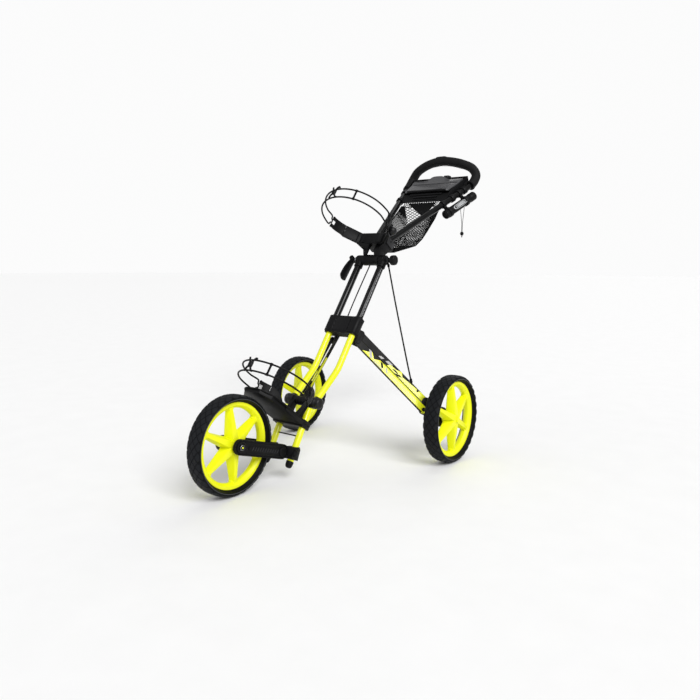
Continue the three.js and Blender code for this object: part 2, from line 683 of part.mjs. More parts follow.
function addLeg(side, s) {
  const turn = s > 0 ? LEG_TURN : Math.PI - LEG_TURN;
  const linkage = addFrame(leaning, [s * LEG_PIVOT[0], LEG_PIVOT[1], LEG_PIVOT[2]], [0, 0, turn]);
  const half = LEG_PIVOT_SPLIT / 2;
  const layer = (LUG_THICK + BAR_THICK) / 2 + GAP;
  for (const [level, place] of [['lower', -1], ['upper', 1]]) {
    const bar = addPiece(linkage, `${side}_${level}_leg_bar`, makeBar(), BLACK_METAL);
    bar.position.set(0, s * place * layer, place * half);
    bar.rotation.y = LEG_DROP;
  }
  addHubBracket(linkage, side, s);
}

// The bracket at the far ends of a leg's two bars: a plate with both pivots, run into a drum
// that holds the wheel's axle.
function addHubBracket(linkage, side, s) {
  const half = LEG_PIVOT_SPLIT / 2;
  const ends = [BAR_LENGTH * Math.cos(LEG_DROP), 0, -BAR_LENGTH * Math.sin(LEG_DROP)];
  const outline = slotSide(half, 12.5).map(([x, z]) => [-x, z]).reverse();
  outline.unshift([24, half + 12.5]);
  outline.push([24, -half - 12.5]);
  const pins = [-1, 1].map((level) => {
    const outward = s * level;
    const z = level * half;
    const face = outward * (LUG_THICK / 2 + BAR_THICK + 2 * GAP);
    return join(
      rod([0, outward * (LUG_THICK / 2 - 1), z], [0, face, z], PIN_R, 12),
      rod([0, face, z], [0, face + outward * 2.5, z], 7, 12),
    );
  });
  const toCart = new THREE.Matrix4();
  linkage.updateMatrixWorld(true);
  cart.updateMatrixWorld(true);
  toCart.copy(cart.matrixWorld).invert().multiply(linkage.matrixWorld);
  const toEnds = toCart.clone().multiply(new THREE.Matrix4().makeTranslation(...ends));
  const arm = moved(join(plate(outline, LUG_THICK), ...pins), toEnds);
  const local = (x, y, z) => new THREE.Vector3(x, y, z).applyMatrix4(toEnds).toArray();
  const drumInner = REAR_WHEEL_X - 54;
  const drumOuter = REAR_WHEEL_X - 33;
  const drum = barX(s * drumInner, s * drumOuter, 0, AXLE_Z, 34, 24);
  const rimPoints = ring(30, 12).map((p) => [s * drumInner, p.x, AXLE_Z + p.y]);
  const root = [[17, -11], [17, 11], [26, -11], [26, 11]].flatMap(([x, y]) =>
    [-1, 1].map((level) => local(x, y, level * (half + 10))));
  const body = convex([...root, ...rimPoints]);
  const axleHole = barX(s * 250, s * 330, 0, AXLE_Z, AXLE_R + GAP, 14);
  addPiece(cart, `${side}_hub_bracket`, cut(join(arm, body, drum), axleHole), BLACK_PLASTIC);

  const wheelX = s * REAR_WHEEL_X;
  const shaft = barX(s * (drumInner - 6), wheelX + s * (HUB_HALF + 4), 0, AXLE_Z, AXLE_R, 14);
  const cap = barX(wheelX + s * (HUB_HALF + 1), wheelX + s * (HUB_HALF + 7), 0, AXLE_Z, 11, 14, 8);
  addPiece(cart, `${side}_axle`, join(shaft, cap), STEEL);
  const wheel = addFrame(cart, [wheelX, 0, AXLE_Z]);
  addWheel(wheel, `${side}_wheel`, s);
}

// ---------------------------------------------------------------- front frame
const frontFrame = addFrame(cart, FRONT_ORIGIN, [FRONT_LEAN, 0, 0]);
const FRONT_TUBE_TOP = 72;
const FRONT_TUBE_LOW = -106;

function addFrontTubes() {
  const plugMiddle = FRONT_TUBE_LOW - 12;
  const plugEnd = FRONT_TUBE_LOW - 22;
  for (const [side, s] of SIDES) {
    const x = s * FRONT_TUBE_X;
    const tube = rod([x, 0, FRONT_TUBE_LOW], [x, 0, FRONT_TUBE_TOP], MAIN_TUBE_R, 16);
    addPiece(frontFrame, `front_tube_${side}`, tube, YELLOW);
    const plug = join(
      rod([x, 0, plugMiddle], [x, 0, FRONT_TUBE_LOW - GAP], MAIN_TUBE_R + 1, 16),
      rod([x, 0, plugEnd], [x, 0, plugMiddle], MAIN_TUBE_R - 4, 16, MAIN_TUBE_R + 1),
    );
    addPiece(frontFrame, `tube_end_cap_${side}`, plug, BLACK_PLASTIC);
  }
  const half = FRONT_TUBE_X - MAIN_TUBE_R - GAP;
  addPiece(frontFrame, 'cross_rod', barX(-half, half, -1.6, -24, 2.3, 10), STEEL);
}

// The middle of the front hinge: a cross barrel with a lug down the inside of each front tube.
function addFrontHinge() {
  const [, pivotY, pivotZ] = FRONT_PIVOT;
  const barrel = barX(-37.5, 37.5, pivotY, pivotZ, 15, 20);
  const half = FRONT_TUBE_X - MAIN_TUBE_R - GAP;
  let lugs = null;
  for (const [, s] of SIDES) {
    const at = (x, y, z) => [s * x, y, z];
    const lug = convex([half - 11, half].flatMap((x) => [
      at(x, pivotY + 10, pivotZ + 4), at(x, pivotY - 14, pivotZ + 6),
      at(x, -397, 198), at(x, -420, 210), at(x, -412, 172), at(x, -436, 184),
    ]));
    lugs = lugs ? join(lugs, lug) : lug;
  }
  const boltHole = barX(-50, 50, pivotY, pivotZ, PIN_R + GAP, 12);
  addPiece(cart, 'front_hinge', cut(join(barrel, lugs), boltHole), BLACK_PLASTIC);
}

function addLowerCradle() {
  const frame = addFrame(cart, [0, -440, 156], [LEAN, 0, 0]);
  const { centreY, radius, low, high } = LOWER_HOOP;
  const wingStops = [
    [47, low - 5, high + 5], [40, low - 13, high + 1], [33, 30, high - 7], [26, 14, high - 17],
    [18, 14, low - 6], [10, 14, 32], [4, 14, 22],
  ].map(([degrees, bottom, top]) => [degrees, radius, bottom, top]);
  const wing = hoopWall(centreY, wingStops, 7);
  const base = convex([-1, 1].flatMap((s) => [
    [s * 63, 17, 0], [s * 63, 17, 24], [s * 63, -20, 0], [s * 63, -20, 24],
  ]));
  const shelf = convex([-1, 1].flatMap((s) => [
    [s * 62, -10, 4], [s * 62, -10, 20], [s * 58, -190, 6], [s * 58, -190, 20],
    [s * 30, -222, 8], [s * 30, -222, 20],
  ]));
  const toFront = new THREE.Matrix4();
  cart.updateMatrixWorld(true);
  toFront.copy(frame.matrixWorld).invert().multiply(frontFrame.matrixWorld);
  const bores = SIDES.map(([, s]) => {
    const x = s * FRONT_TUBE_X;
    return moved(rod([x, 0, -80], [x, 0, 120], MAIN_TUBE_R + GAP, 16), toFront);
  });
  const solid = cut(join(wing, moved(wing, mirror), base, shelf), ...bores);
  addPiece(frame, 'lower_bag_cradle', solid, BLACK_PLASTIC);
  addStrapEnds(frame, 'lower_strap_end', LOWER_HOOP, 47.6 * DEG, 68 * DEG);
  addStrapLoop(frame, 'lower_strap', LOWER_HOOP, 71 * DEG);
  addBuckle(frame, 'lower_strap_buckle', LOWER_HOOP, -3 * DEG);
}

// Shallow pockets along the outside of each fork arm.
const POCKETS = { count: 8, first: 40, pitch: 16, width: 9, depth: 3 };

function addFork() {
  const fork = addFrame(cart, [0, FRONT_WHEEL_Y, AXLE_Z], [FORK_PITCH, 0, 0]);
  const inner = 30;
  const outer = 42;
  const armLength = 186;
  const halfHeight = 23.5;
  for (const [side, s] of SIDES) {
    const web = plate(slotOutline(armLength, halfHeight, 10), outer - inner);
    const upright = new THREE.Matrix4().makeRotationZ(90 * DEG);
    upright.setPosition(s * (inner + outer) / 2, 0, 0);
    let arm = moved(web, upright);
    for (let i = 0; i < POCKETS.count; i += 1) {
      const y = POCKETS.first + i * POCKETS.pitch;
      const pocket = box(outer - POCKETS.depth, outer + 5, y, y + POCKETS.width, -14, 14);
      arm = cut(arm, s > 0 ? pocket : moved(pocket, mirror));
    }
    arm = cut(arm, barX(s * 20, s * 60, 0, 0, AXLE_R + GAP, 14));
    addPiece(fork, `fork_arm_${side}`, arm, BLACK_PLASTIC);

    const block = convex([32, 61].flatMap((x) => [[s * x, 209, -19], [s * x, 210, 19],
      [s * x, 241, -22], [s * x, 245, 12], [s * x, 239, 21]]));
    const bolt = barX(s * 60.9, s * 69, 219, 1, 10, 14);
    addPiece(fork, `fork_clamp_${side}`, cutForTube(join(block, bolt), fork, s), BLACK_PLASTIC);
  }
  const axleHalf = outer + 3;
  const shaft = barX(-axleHalf, axleHalf, 0, 0, AXLE_R, 14);
  const nuts = SIDES.map(([, s]) => barX(s * (outer + 1), s * (outer + 7), 0, 0, 10, 12));
  addPiece(fork, 'front_axle', join(shaft, ...nuts), STEEL);
  const wheel = addFrame(cart, [0, FRONT_WHEEL_Y, AXLE_Z]);
  addWheel(wheel, 'front_wheel', 1);
}

function cutForTube(solid, frame, s) {
  cart.updateMatrixWorld(true);
  const change = frame.matrixWorld.clone().invert().multiply(frontFrame.matrixWorld);
  const x = s * FRONT_TUBE_X;
  return cut(solid, moved(rod([x, 0, -160], [x, 0, 80], MAIN_TUBE_R + GAP, 16), change));
}

// ---------------------------------------------------------------- assembly
trolley.updateMatrixWorld(true);
addMainTubes();
addHingeBolt();
addCollar();
addFrontKnuckles();
addBrakeCables();
addClampLever();
addBrakeKnob();
addHingeCasting();
addUpperCradle();
addHandle();
addConsole();
addLid();
addBasket();
addUmbrellaHolder();
addLanyard();
for (const [side, s] of SIDES) addLeg(side, s);
addFrontTubes();
addFrontHinge();
addLowerCradle();
addFork();

export default trolley;
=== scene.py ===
# The looks of a golf push trolley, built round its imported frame. +Z is up, -Y is forward.
# Shapes are drawn in millimetres in a local frame of the trolley, then placed in metres.
import math

import bmesh
import bpy
from mathutils import Matrix, Vector, noise


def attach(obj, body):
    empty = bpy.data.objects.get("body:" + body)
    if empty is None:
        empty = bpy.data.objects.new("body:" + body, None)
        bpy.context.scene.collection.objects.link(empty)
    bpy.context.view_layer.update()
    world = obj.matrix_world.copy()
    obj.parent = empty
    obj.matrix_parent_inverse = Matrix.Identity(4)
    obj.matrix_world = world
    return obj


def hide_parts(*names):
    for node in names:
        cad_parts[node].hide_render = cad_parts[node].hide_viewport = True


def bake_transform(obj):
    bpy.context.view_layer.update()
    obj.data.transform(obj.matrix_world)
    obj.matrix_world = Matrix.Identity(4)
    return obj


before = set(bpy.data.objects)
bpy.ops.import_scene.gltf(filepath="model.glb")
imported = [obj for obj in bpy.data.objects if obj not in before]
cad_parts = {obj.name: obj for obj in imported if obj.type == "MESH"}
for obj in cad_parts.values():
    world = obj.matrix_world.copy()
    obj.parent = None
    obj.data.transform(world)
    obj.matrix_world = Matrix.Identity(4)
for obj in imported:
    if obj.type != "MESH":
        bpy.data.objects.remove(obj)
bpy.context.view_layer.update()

# ------------------------------------------------------------------ frames, in millimetres
MM = 0.001
MIDDLE_Y = 149.3
WHEEL_R = 150.0
AXLE_Z = WHEEL_R * math.cos(math.pi / 40)    # the CAD tyre has 40 sides and stands on one of them
HINGE = (0, 12.6, 687.5)
LEAN = -36.3
FRONT_WHEEL_Y = -699
REAR_WHEEL_X = 344
TUBE_X = 50
FRONT_TUBE_X = 48
LEG_DROP = 23
BAR_LENGTH = 322                            # of a leg bar, from pivot to pivot
PIVOT_HALF = 18.45                          # half the distance between the two bars' pivots
BAR_LAYER = 8.9                             # how far each bar lies beside the middle of its leg
SIDES = (("left", 1), ("right", -1))


def shift(x, y, z):
    return Matrix.Translation((x, y, z))


def turn(degrees, axis):
    return Matrix.Rotation(math.radians(degrees), 4, axis)


CART = shift(0, MIDDLE_Y, 0)
LEANING = CART @ shift(*HINGE) @ turn(LEAN, "X")
FRONT = CART @ shift(0, -440, 151.8) @ turn(-31.1, "X")
LOWER = CART @ shift(0, -440, 156) @ turn(LEAN, "X")
FORK = CART @ shift(0, FRONT_WHEEL_Y, AXLE_Z) @ turn(-16.7, "X")
LINK = {
    s: LEANING @ shift(s * 52, 41.5, -308) @ turn(45 if s > 0 else 135, "Z") for s in (1, -1)
}


# ------------------------------------------------------------------ materials
def srgb(r, g, b):
    def linear(c):
        c /= 255
        return c / 12.92 if c <= 0.04045 else ((c + 0.055) / 1.055) ** 2.4

    return (linear(r), linear(g), linear(b), 1)


class Nodes:
    """A few short calls for building a material's node tree."""

    def __init__(self, name):
        self.material = bpy.data.materials.new(name)
        self.material.use_nodes = True
        self.tree = self.material.node_tree
        self.shader = self.tree.nodes["Principled BSDF"]
        self.place = self.add("ShaderNodeTexCoord").outputs["Object"]

    def add(self, kind, **settings):
        node = self.tree.nodes.new(kind)
        for key, value in settings.items():
            setattr(node, key, value)
        return node

    def link(self, source, target):
        self.tree.links.new(source, target)

    def noise(self, scale, detail=3.0, roughness=0.55):
        node = self.add("ShaderNodeTexNoise")
        node.inputs["Scale"].default_value = scale
        node.inputs["Detail"].default_value = detail
        node.inputs["Roughness"].default_value = roughness
        self.link(self.place, node.inputs["Vector"])
        return node.outputs["Fac"]

    def remap(self, value, low, high, to_low, to_high):
        node = self.add("ShaderNodeMapRange")
        for key, number in zip(("From Min", "From Max", "To Min", "To Max"), (low, high, to_low, to_high)):
            node.inputs[key].default_value = number
        self.link(value, node.inputs["Value"])
        return node.outputs["Result"]

    def mix(self, factor, first, second):
        node = self.add("ShaderNodeMix", data_type="RGBA")
        self.link(factor, node.inputs["Factor"])
        for key, colour in (("A", first), ("B", second)):
            socket = [i for i in node.inputs if i.name == key and i.type == "RGBA"][0]
            if isinstance(colour, tuple):
                socket.default_value = colour
            else:
                self.link(colour, socket)
        return [o for o in node.outputs if o.type == "RGBA"][0]

    def bump(self, height, strength, distance, under=None):
        node = self.add("ShaderNodeBump")
        node.inputs["Strength"].default_value = strength
        node.inputs["Distance"].default_value = distance
        self.link(height, node.inputs["Height"])
        if under:
            self.link(under, node.inputs["Normal"])
        return node.outputs["Normal"]

    def edges(self):
        return self.add("ShaderNodeNewGeometry").outputs["Pointiness"]

    def set(self, **values):
        for key, value in values.items():
            socket = self.shader.inputs[key.replace("_", " ")]
            if isinstance(value, (int, float, tuple)):
                socket.default_value = value
            else:
                self.link(value, socket)
        return self.material


def scaled(colour, factor):
    return tuple(min(1.0, c * factor) for c in colour[:3]) + (1,)


GLOSS_SPREAD = 0.06
COAT_ROUGHNESS = 0.08


def surface(name, colour, rough, metal=0.0, vary=0.12, grain=(), coat=0.0, edge_wear_and_highlight=None, shine=0.5):
    """A finish with slow colour drift, uneven gloss, fine grain and, if asked, paler edges that are partly
    rub wear and partly a painted highlight.
    """
    n = Nodes(name)
    drift = n.noise(9, 4)
    base = n.mix(n.remap(drift, 0.3, 0.7, 0, 1), scaled(colour, 1 - vary), scaled(colour, 1 + vary))
    if edge_wear_and_highlight:
        # Paler convex edges: partly rub wear, partly a painted highlight along the edges.
        amount, tint = edge_wear_and_highlight
        base = n.mix(n.remap(n.edges(), 0.53, 0.62, 0, amount), base, tint)
    gloss = n.remap(n.noise(34, 5, 0.65), 0.3, 0.7, rough - GLOSS_SPREAD, rough + GLOSS_SPREAD)
    normal = None
    for scale, strength, distance in grain:
        normal = n.bump(n.noise(scale, 2), strength, distance, normal)
    values = {"Base_Color": base, "Roughness": gloss, "Metallic": metal, "Specular_IOR_Level": shine}
    if normal:
        values["Normal"] = normal
    if coat:
        values["Coat_Weight"] = coat
        values["Coat_Roughness"] = COAT_ROUGHNESS
    return n.set(**values)


NEON = srgb(232, 236, 13)
MAT = {
    "yellow_paint": surface("yellow_paint", NEON, 0.3, vary=0.03, grain=((900, 0.06, 0.0004),), coat=0.3),
    "yellow_plastic": surface("yellow_plastic", NEON, 0.42, vary=0.03, shine=0.35,
                              grain=((1400, 0.08, 0.0003),)),
    "black_paint": surface("black_paint", srgb(6, 6, 7), 0.22, vary=0.1, coat=0.08, shine=0.22,
                           grain=((700, 0.05, 0.0004),), edge_wear_and_highlight=(0.25, srgb(46, 46, 49))),
    "black_print": surface("black_print", srgb(8, 8, 9), 0.5, vary=0.1, shine=0.15,
                           grain=((900, 0.05, 0.0002),)),
    "black_plastic": surface("black_plastic", srgb(10, 10, 11), 0.46, vary=0.15, shine=0.13,
                             grain=((1600, 0.22, 0.0004), (260, 0.08, 0.0008)), edge_wear_and_highlight=(0.3, srgb(46, 46, 49))),
    "dark_plastic": surface("dark_plastic", srgb(18, 18, 20), 0.4, vary=0.12, shine=0.26,
                            grain=((1500, 0.18, 0.0004),), edge_wear_and_highlight=(0.35, srgb(80, 80, 84))),
    "grey_plastic": surface("grey_plastic", srgb(74, 74, 76), 0.32, vary=0.06, coat=0.2, shine=0.4),
    "tyre_rubber": surface("tyre_rubber", srgb(8, 9, 10), 0.6, vary=0.2, shine=0.12,
                           grain=((700, 0.25, 0.0006), (90, 0.1, 0.001)), edge_wear_and_highlight=(0.4, srgb(40, 42, 46))),
    "strap_rubber": surface("strap_rubber", srgb(9, 9, 10), 0.5, vary=0.14, grain=((1100, 0.2, 0.0004),),
                            shine=0.13),
    "grip_foam": surface("grip_foam", srgb(12, 12, 13), 0.66, vary=0.15, shine=0.2,
                         grain=((1900, 0.4, 0.0005), (420, 0.18, 0.0006)), edge_wear_and_highlight=(0.25, srgb(48, 48, 52))),
    "steel": surface("steel", srgb(150, 152, 156), 0.32, metal=1.0, vary=0.1, grain=((900, 0.1, 0.0002),)),
    "black_steel": surface("black_steel", srgb(30, 30, 32), 0.35, metal=0.6, vary=0.1,
                           grain=((900, 0.1, 0.0002),), edge_wear_and_highlight=(0.4, srgb(110, 110, 114))),
    "net_cord": surface("net_cord", srgb(8, 8, 9), 0.75, vary=0.2, grain=((2600, 0.3, 0.0003),), shine=0.1),
    "panel_fabric": surface("panel_fabric", srgb(8, 8, 9), 0.85, vary=0.2, shine=0.1,
                            grain=((2400, 0.5, 0.0005), (300, 0.15, 0.001))),
    # Pale marks: print on the umbrella tube, and a painted reflection line on the upper tubes.
    "pale_print": surface("pale_print", srgb(190, 192, 194), 0.4, vary=0.04, grain=((900, 0.05, 0.0002),)),
    "grey_print": surface("grey_print", srgb(150, 148, 148), 0.35, vary=0.06, grain=((900, 0.05, 0.0002),)),
    "tyre_line": surface("tyre_line", srgb(70, 72, 76), 0.6, vary=0.15, grain=((700, 0.2, 0.0004),)),
    # Near-black patches laid in recesses, slots, grooves and openings: painted shade.
    "dark_hole": surface("dark_hole", srgb(5, 5, 6), 0.8, vary=0.2, shine=0.1, grain=((900, 0.1, 0.0004),)),
    "cable_sleeve": surface("cable_sleeve", srgb(6, 6, 7), 0.5, vary=0.1, shine=0.15,
                            grain=((900, 0.1, 0.0002),)),
    "lid_edge": surface("lid_edge", srgb(128, 129, 131), 0.25, vary=0.06, coat=0.4,
                        grain=((1200, 0.06, 0.0002),)),
}


# ------------------------------------------------------------------ shapes: (vertices, faces) in mm
def lathe(profile, steps=64, closed=True):
    """Turns (x, radius) points round the X axis; a radius of zero closes the end."""
    verts, faces, rings = [], [], []
    for x, r in profile:
        if r < 1e-6:
            rings.append([len(verts)])
            verts.append((x, 0, 0))
            continue
        ring = []
        for i in range(steps):
            a = 2 * math.pi * i / steps
            ring.append(len(verts))
            verts.append((x, r * math.cos(a), r * math.sin(a)))
        rings.append(ring)
    pairs = list(zip(rings, rings[1:]))
    if closed:
        pairs.append((rings[-1], rings[0]))
    for a, b in pairs:
        for i in range(steps):
            j = (i + 1) % steps
            if len(a) == 1 and len(b) == 1:
                break
            if len(a) == 1:
                faces.append((a[0], b[j], b[i]))
            elif len(b) == 1:
                faces.append((a[i], a[j], b[0]))
            else:
                faces.append((a[i], a[j], b[j], b[i]))
    return verts, faces


def capped(profile, steps=48):
    """A turned solid closed at both ends on the axis."""
    return lathe([(profile[0][0], 0), *profile, (profile[-1][0], 0)], steps, closed=False)


def rounded(x0, x1, r, soft=1.5, steps=48):
    """A plain turned bar along X with softened ends."""
    arc = [math.radians(a) for a in (0, 30, 60, 90)]
    left = [(x0 + soft * (1 - math.sin(a)), r - soft * (1 - math.cos(a))) for a in reversed(arc)]
    right = [(x1 - soft * (1 - math.sin(a)), r - soft * (1 - math.cos(a))) for a in arc]
    return capped(left + right, steps)


def smooth_path(points, step=6.0, closed=False):
    """Points along a Catmull-Rom curve, about step mm apart."""
    pts = [Vector(p) for p in points]
    count = len(pts)
    out = []
    spans = count if closed else count - 1
    for i in range(spans):
        if closed:
            p0, p1, p2, p3 = (pts[(i + k - 1) % count] for k in range(4))
        else:
            p1, p2 = pts[i], pts[i + 1]
            p0 = pts[i - 1] if i else p1 * 2 - p2
            p3 = pts[i + 2] if i + 2 < count else p2 * 2 - p1
        d = [max((b - a).length, 1e-6) ** 0.5 for a, b in ((p0, p1), (p1, p2), (p2, p3))]
        t1 = d[0]
        t2 = t1 + d[1]
        t3 = t2 + d[2]
        parts = max(1, round((p2 - p1).length / step))
        for k in range(parts):
            t = t1 + (t2 - t1) * k / parts
            a1 = p0 * ((t1 - t) / t1) + p1 * (t / t1)
            a2 = p1 * ((t2 - t) / (t2 - t1)) + p2 * ((t - t1) / (t2 - t1))
            a3 = p2 * ((t3 - t) / (t3 - t2)) + p3 * ((t - t2) / (t3 - t2))
            b1 = a1 * ((t2 - t) / t2) + a2 * (t / t2)
            b2 = a2 * ((t3 - t) / (t3 - t1)) + a3 * ((t - t1) / (t3 - t1))
            out.append(b1 * ((t2 - t) / (t2 - t1)) + b2 * ((t - t1) / (t2 - t1)))
    if not closed:
        out.append(pts[-1])
    return out


def loft(rings, closed=False):
    """Joins rings of points into a skin, with flat ends unless it closes on itself."""
    n, count = len(rings[0]), len(rings)
    faces = []
    for i in range(count if closed else count - 1):
        a, b = i * n, ((i + 1) % count) * n
        faces.extend((a + k, b + k, b + (k + 1) % n, a + (k + 1) % n) for k in range(n))
    if not closed:
        faces.append(tuple(range(n)))
        faces.append(tuple(reversed(range((count - 1) * n, count * n))))
    return [tuple(p) for ring in rings for p in ring], faces


def sweep(path, section, closed=False, up=None):
    """Carries a flat (u, v) section along a path; up fixes the direction of v."""
    path = [Vector(p) for p in path]
    count = len(path)
    rings = []
    side = None
    for i, p in enumerate(path):
        before = path[i - 1] if i or closed else p
        after = path[(i + 1) % count] if i + 1 < count or closed else p
        ahead = (after - before).normalized()
        if up is not None:
            side = ahead.cross(Vector(up)).normalized()
        elif side is None:
            pick = Vector((0, 0, 1)) if abs(ahead.z) < 0.9 else Vector((1, 0, 0))
            side = ahead.cross(pick).normalized()
        else:
            side = (side - ahead * side.dot(ahead)).normalized()
        lift = side.cross(ahead)
        points = section(i / max(1, count - 1)) if callable(section) else section
        rings.append([p + side * u + lift * v for u, v in points])
    return loft(rings, closed)


def circle(radius, sides=16):
    angles = (2 * math.pi * k / sides for k in range(sides))
    return [(radius * math.cos(a), radius * math.sin(a)) for a in angles]


def tube(points, radius, sides=20, step=6.0):
    return sweep(smooth_path(points, step), circle(radius, sides))


def rectangle(width, height, soft=0.8):
    w, h = width / 2, height / 2
    return [(w, h - soft), (w - soft, h), (-w + soft, h), (-w, h - soft),
            (-w, -h + soft), (-w + soft, -h), (w - soft, -h), (w, -h + soft)]


def prism(outline, low, high, axis="Y"):
    """Extrudes a flat outline from low to high along one axis; outline gives the two others in order."""
    return loft([[{"X": (level, a, b), "Y": (a, level, b), "Z": (a, b, level)}[axis] for a, b in outline]
                 for level in (low, high)])


def block(x0, x1, y0, y1, z0, z1):
    return prism([(x0, y0), (x1, y0), (x1, y1), (x0, y1)], z0, z1, "Z")


def finished_shape(bm):
    """The vertices and faces of a bmesh, which is then freed."""
    bm.verts.ensure_lookup_table()
    bm.verts.index_update()
    shape = [tuple(v.co) for v in bm.verts], [tuple(v.index for v in f.verts) for f in bm.faces]
    bm.free()
    return shape


def hull(points):
    bm = bmesh.new()
    for p in points:
        bm.verts.new(p)
    bmesh.ops.convex_hull(bm, input=bm.verts)
    loose = [v for v in bm.verts if not v.link_faces]
    bmesh.ops.delete(bm, geom=loose, context="VERTS")
    bmesh.ops.dissolve_limit(bm, angle_limit=0.01, verts=bm.verts, edges=bm.edges)
    return finished_shape(bm)


def x_hull(levels, outline, s=1):
    """The hull of a y-z outline repeated at each level of x, mirrored when s is -1."""
    return hull([(s * x, y, z) for x in levels for y, z in outline])


def mirror(s):
    return Matrix.Diagonal((s, 1, 1, 1))


def moved(shape, matrix):
    verts, faces = shape
    if matrix.to_3x3().determinant() < 0:
        faces = [tuple(reversed(f)) for f in faces]
    return [tuple(matrix @ Vector(v)) for v in verts], faces


def bar(start, end, radius, soft=1.0, steps=24):
    """A round bar between two points."""
    a, b = Vector(start), Vector(end)
    length = (b - a).length
    matrix = Matrix.Translation(a) @ (b - a).to_track_quat("X", "Z").to_matrix().to_4x4()
    return moved(rounded(0, length, radius, soft, steps), matrix)


def rib_ring(count, radius, x0, x1, centre, *look):
    """Thin bars along X, evenly round a circle about centre (y, z); look is bar's radius, soft and steps."""
    ribs = []
    for y, z in circle(radius, count):
        y, z = centre[0] + y, centre[1] + z
        ribs.append(bar((x0, y, z), (x1, y, z), *look))
    return ribs


def from_cad(node, matrix):
    """A CAD node's shape in one of the local frames, in mm, with its flat faces made whole again."""
    bm = bmesh.new()
    bm.from_mesh(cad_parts[node].data)
    bmesh.ops.scale(bm, vec=(1000, 1000, 1000), verts=bm.verts)
    bmesh.ops.remove_doubles(bm, verts=bm.verts, dist=0.01)
    bmesh.ops.dissolve_limit(bm, angle_limit=0.02, verts=bm.verts, edges=bm.edges)
    return moved(finished_shape(bm), matrix.inverted())


# ------------------------------------------------------------------ pieces
SHARP_ANGLE = math.radians(33)


def black(shape, bevel=0):
    """A shape for piece() in black plastic, with its sharp edges bevelled by this many mm."""
    return (shape, "black_plastic", bevel)


def add_shape(bm, shape, matrix, slot_index, bevel):
    verts, faces = shape
    made = [bm.verts.new(tuple(c * MM for c in (matrix @ Vector(v)))) for v in verts]
    new_faces = []
    for f in faces:
        try:
            new_faces.append(bm.faces.new([made[i] for i in f]))
        except ValueError:
            continue
    bmesh.ops.recalc_face_normals(bm, faces=new_faces)
    for f in new_faces:
        f.material_index = slot_index
    if bevel:
        edges = {e for f in new_faces for e in f.edges}
        sharp = [e for e in edges if len(e.link_faces) == 2 and e.calc_face_angle() > SHARP_ANGLE]
        bmesh.ops.bevel(bm, geom=sharp, offset=bevel * MM, segments=2, profile=0.5,
                        affect="EDGES", clamp_overlap=True)


def piece(name, shapes, body, material, replaces=(), matrix=CART, crease=38):
    """Makes one object from shapes, each either plain or (shape, material name, bevel in mm)."""
    mesh = bpy.data.meshes.new(name)
    bm = bmesh.new()
    names = []
    for item in shapes:
        shape, own, bevel = item if len(item) == 3 else (item, material, 0)
        if own not in names:
            names.append(own)
        add_shape(bm, shape, matrix, names.index(own), bevel)
    bm.to_mesh(mesh)
    bm.free()
    for own in names:
        mesh.materials.append(MAT[own])
    mesh.polygons.foreach_set("use_smooth", [True] * len(mesh.polygons))
    mesh.set_sharp_from_angle(angle=math.radians(crease))
    obj = bpy.data.objects.new(name, mesh)
    bpy.context.scene.collection.objects.link(obj)
    if body:
        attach(obj, body)
    if replaces:
        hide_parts(*([replaces] if isinstance(replaces, str) else replaces))
    return obj


# ------------------------------------------------------------------ camera, floor and light
CAMERA_PLACE = (1.4135, -1.8747, 0.6928)
CAMERA_ANGLES = (37.76, 5.98, 0.25)         # azimuth, elevation, roll
LENS = 34.5
CAMERA_SHIFT = (0.0193, -0.0303)
GLOW_STRENGTH = 0.42
WALL_BRIGHTNESS = 0.97
FLOOR_RADIUS = 30
FLOOR_THICKNESS = 0.0005
# name, azimuth, elevation, strength, angular size in radians
SUNS = (("key", 66, 40, 2.6, 0.6), ("fill", -50, 30, 0.3, 1.0), ("back", 190, 35, 0.5, 0.7))


def away_from_middle(azimuth, elevation):
    """The unit direction at an azimuth from -Y and an elevation, both in radians."""
    return Vector((math.sin(azimuth) * math.cos(elevation), -math.cos(azimuth) * math.cos(elevation),
                   math.sin(elevation)))


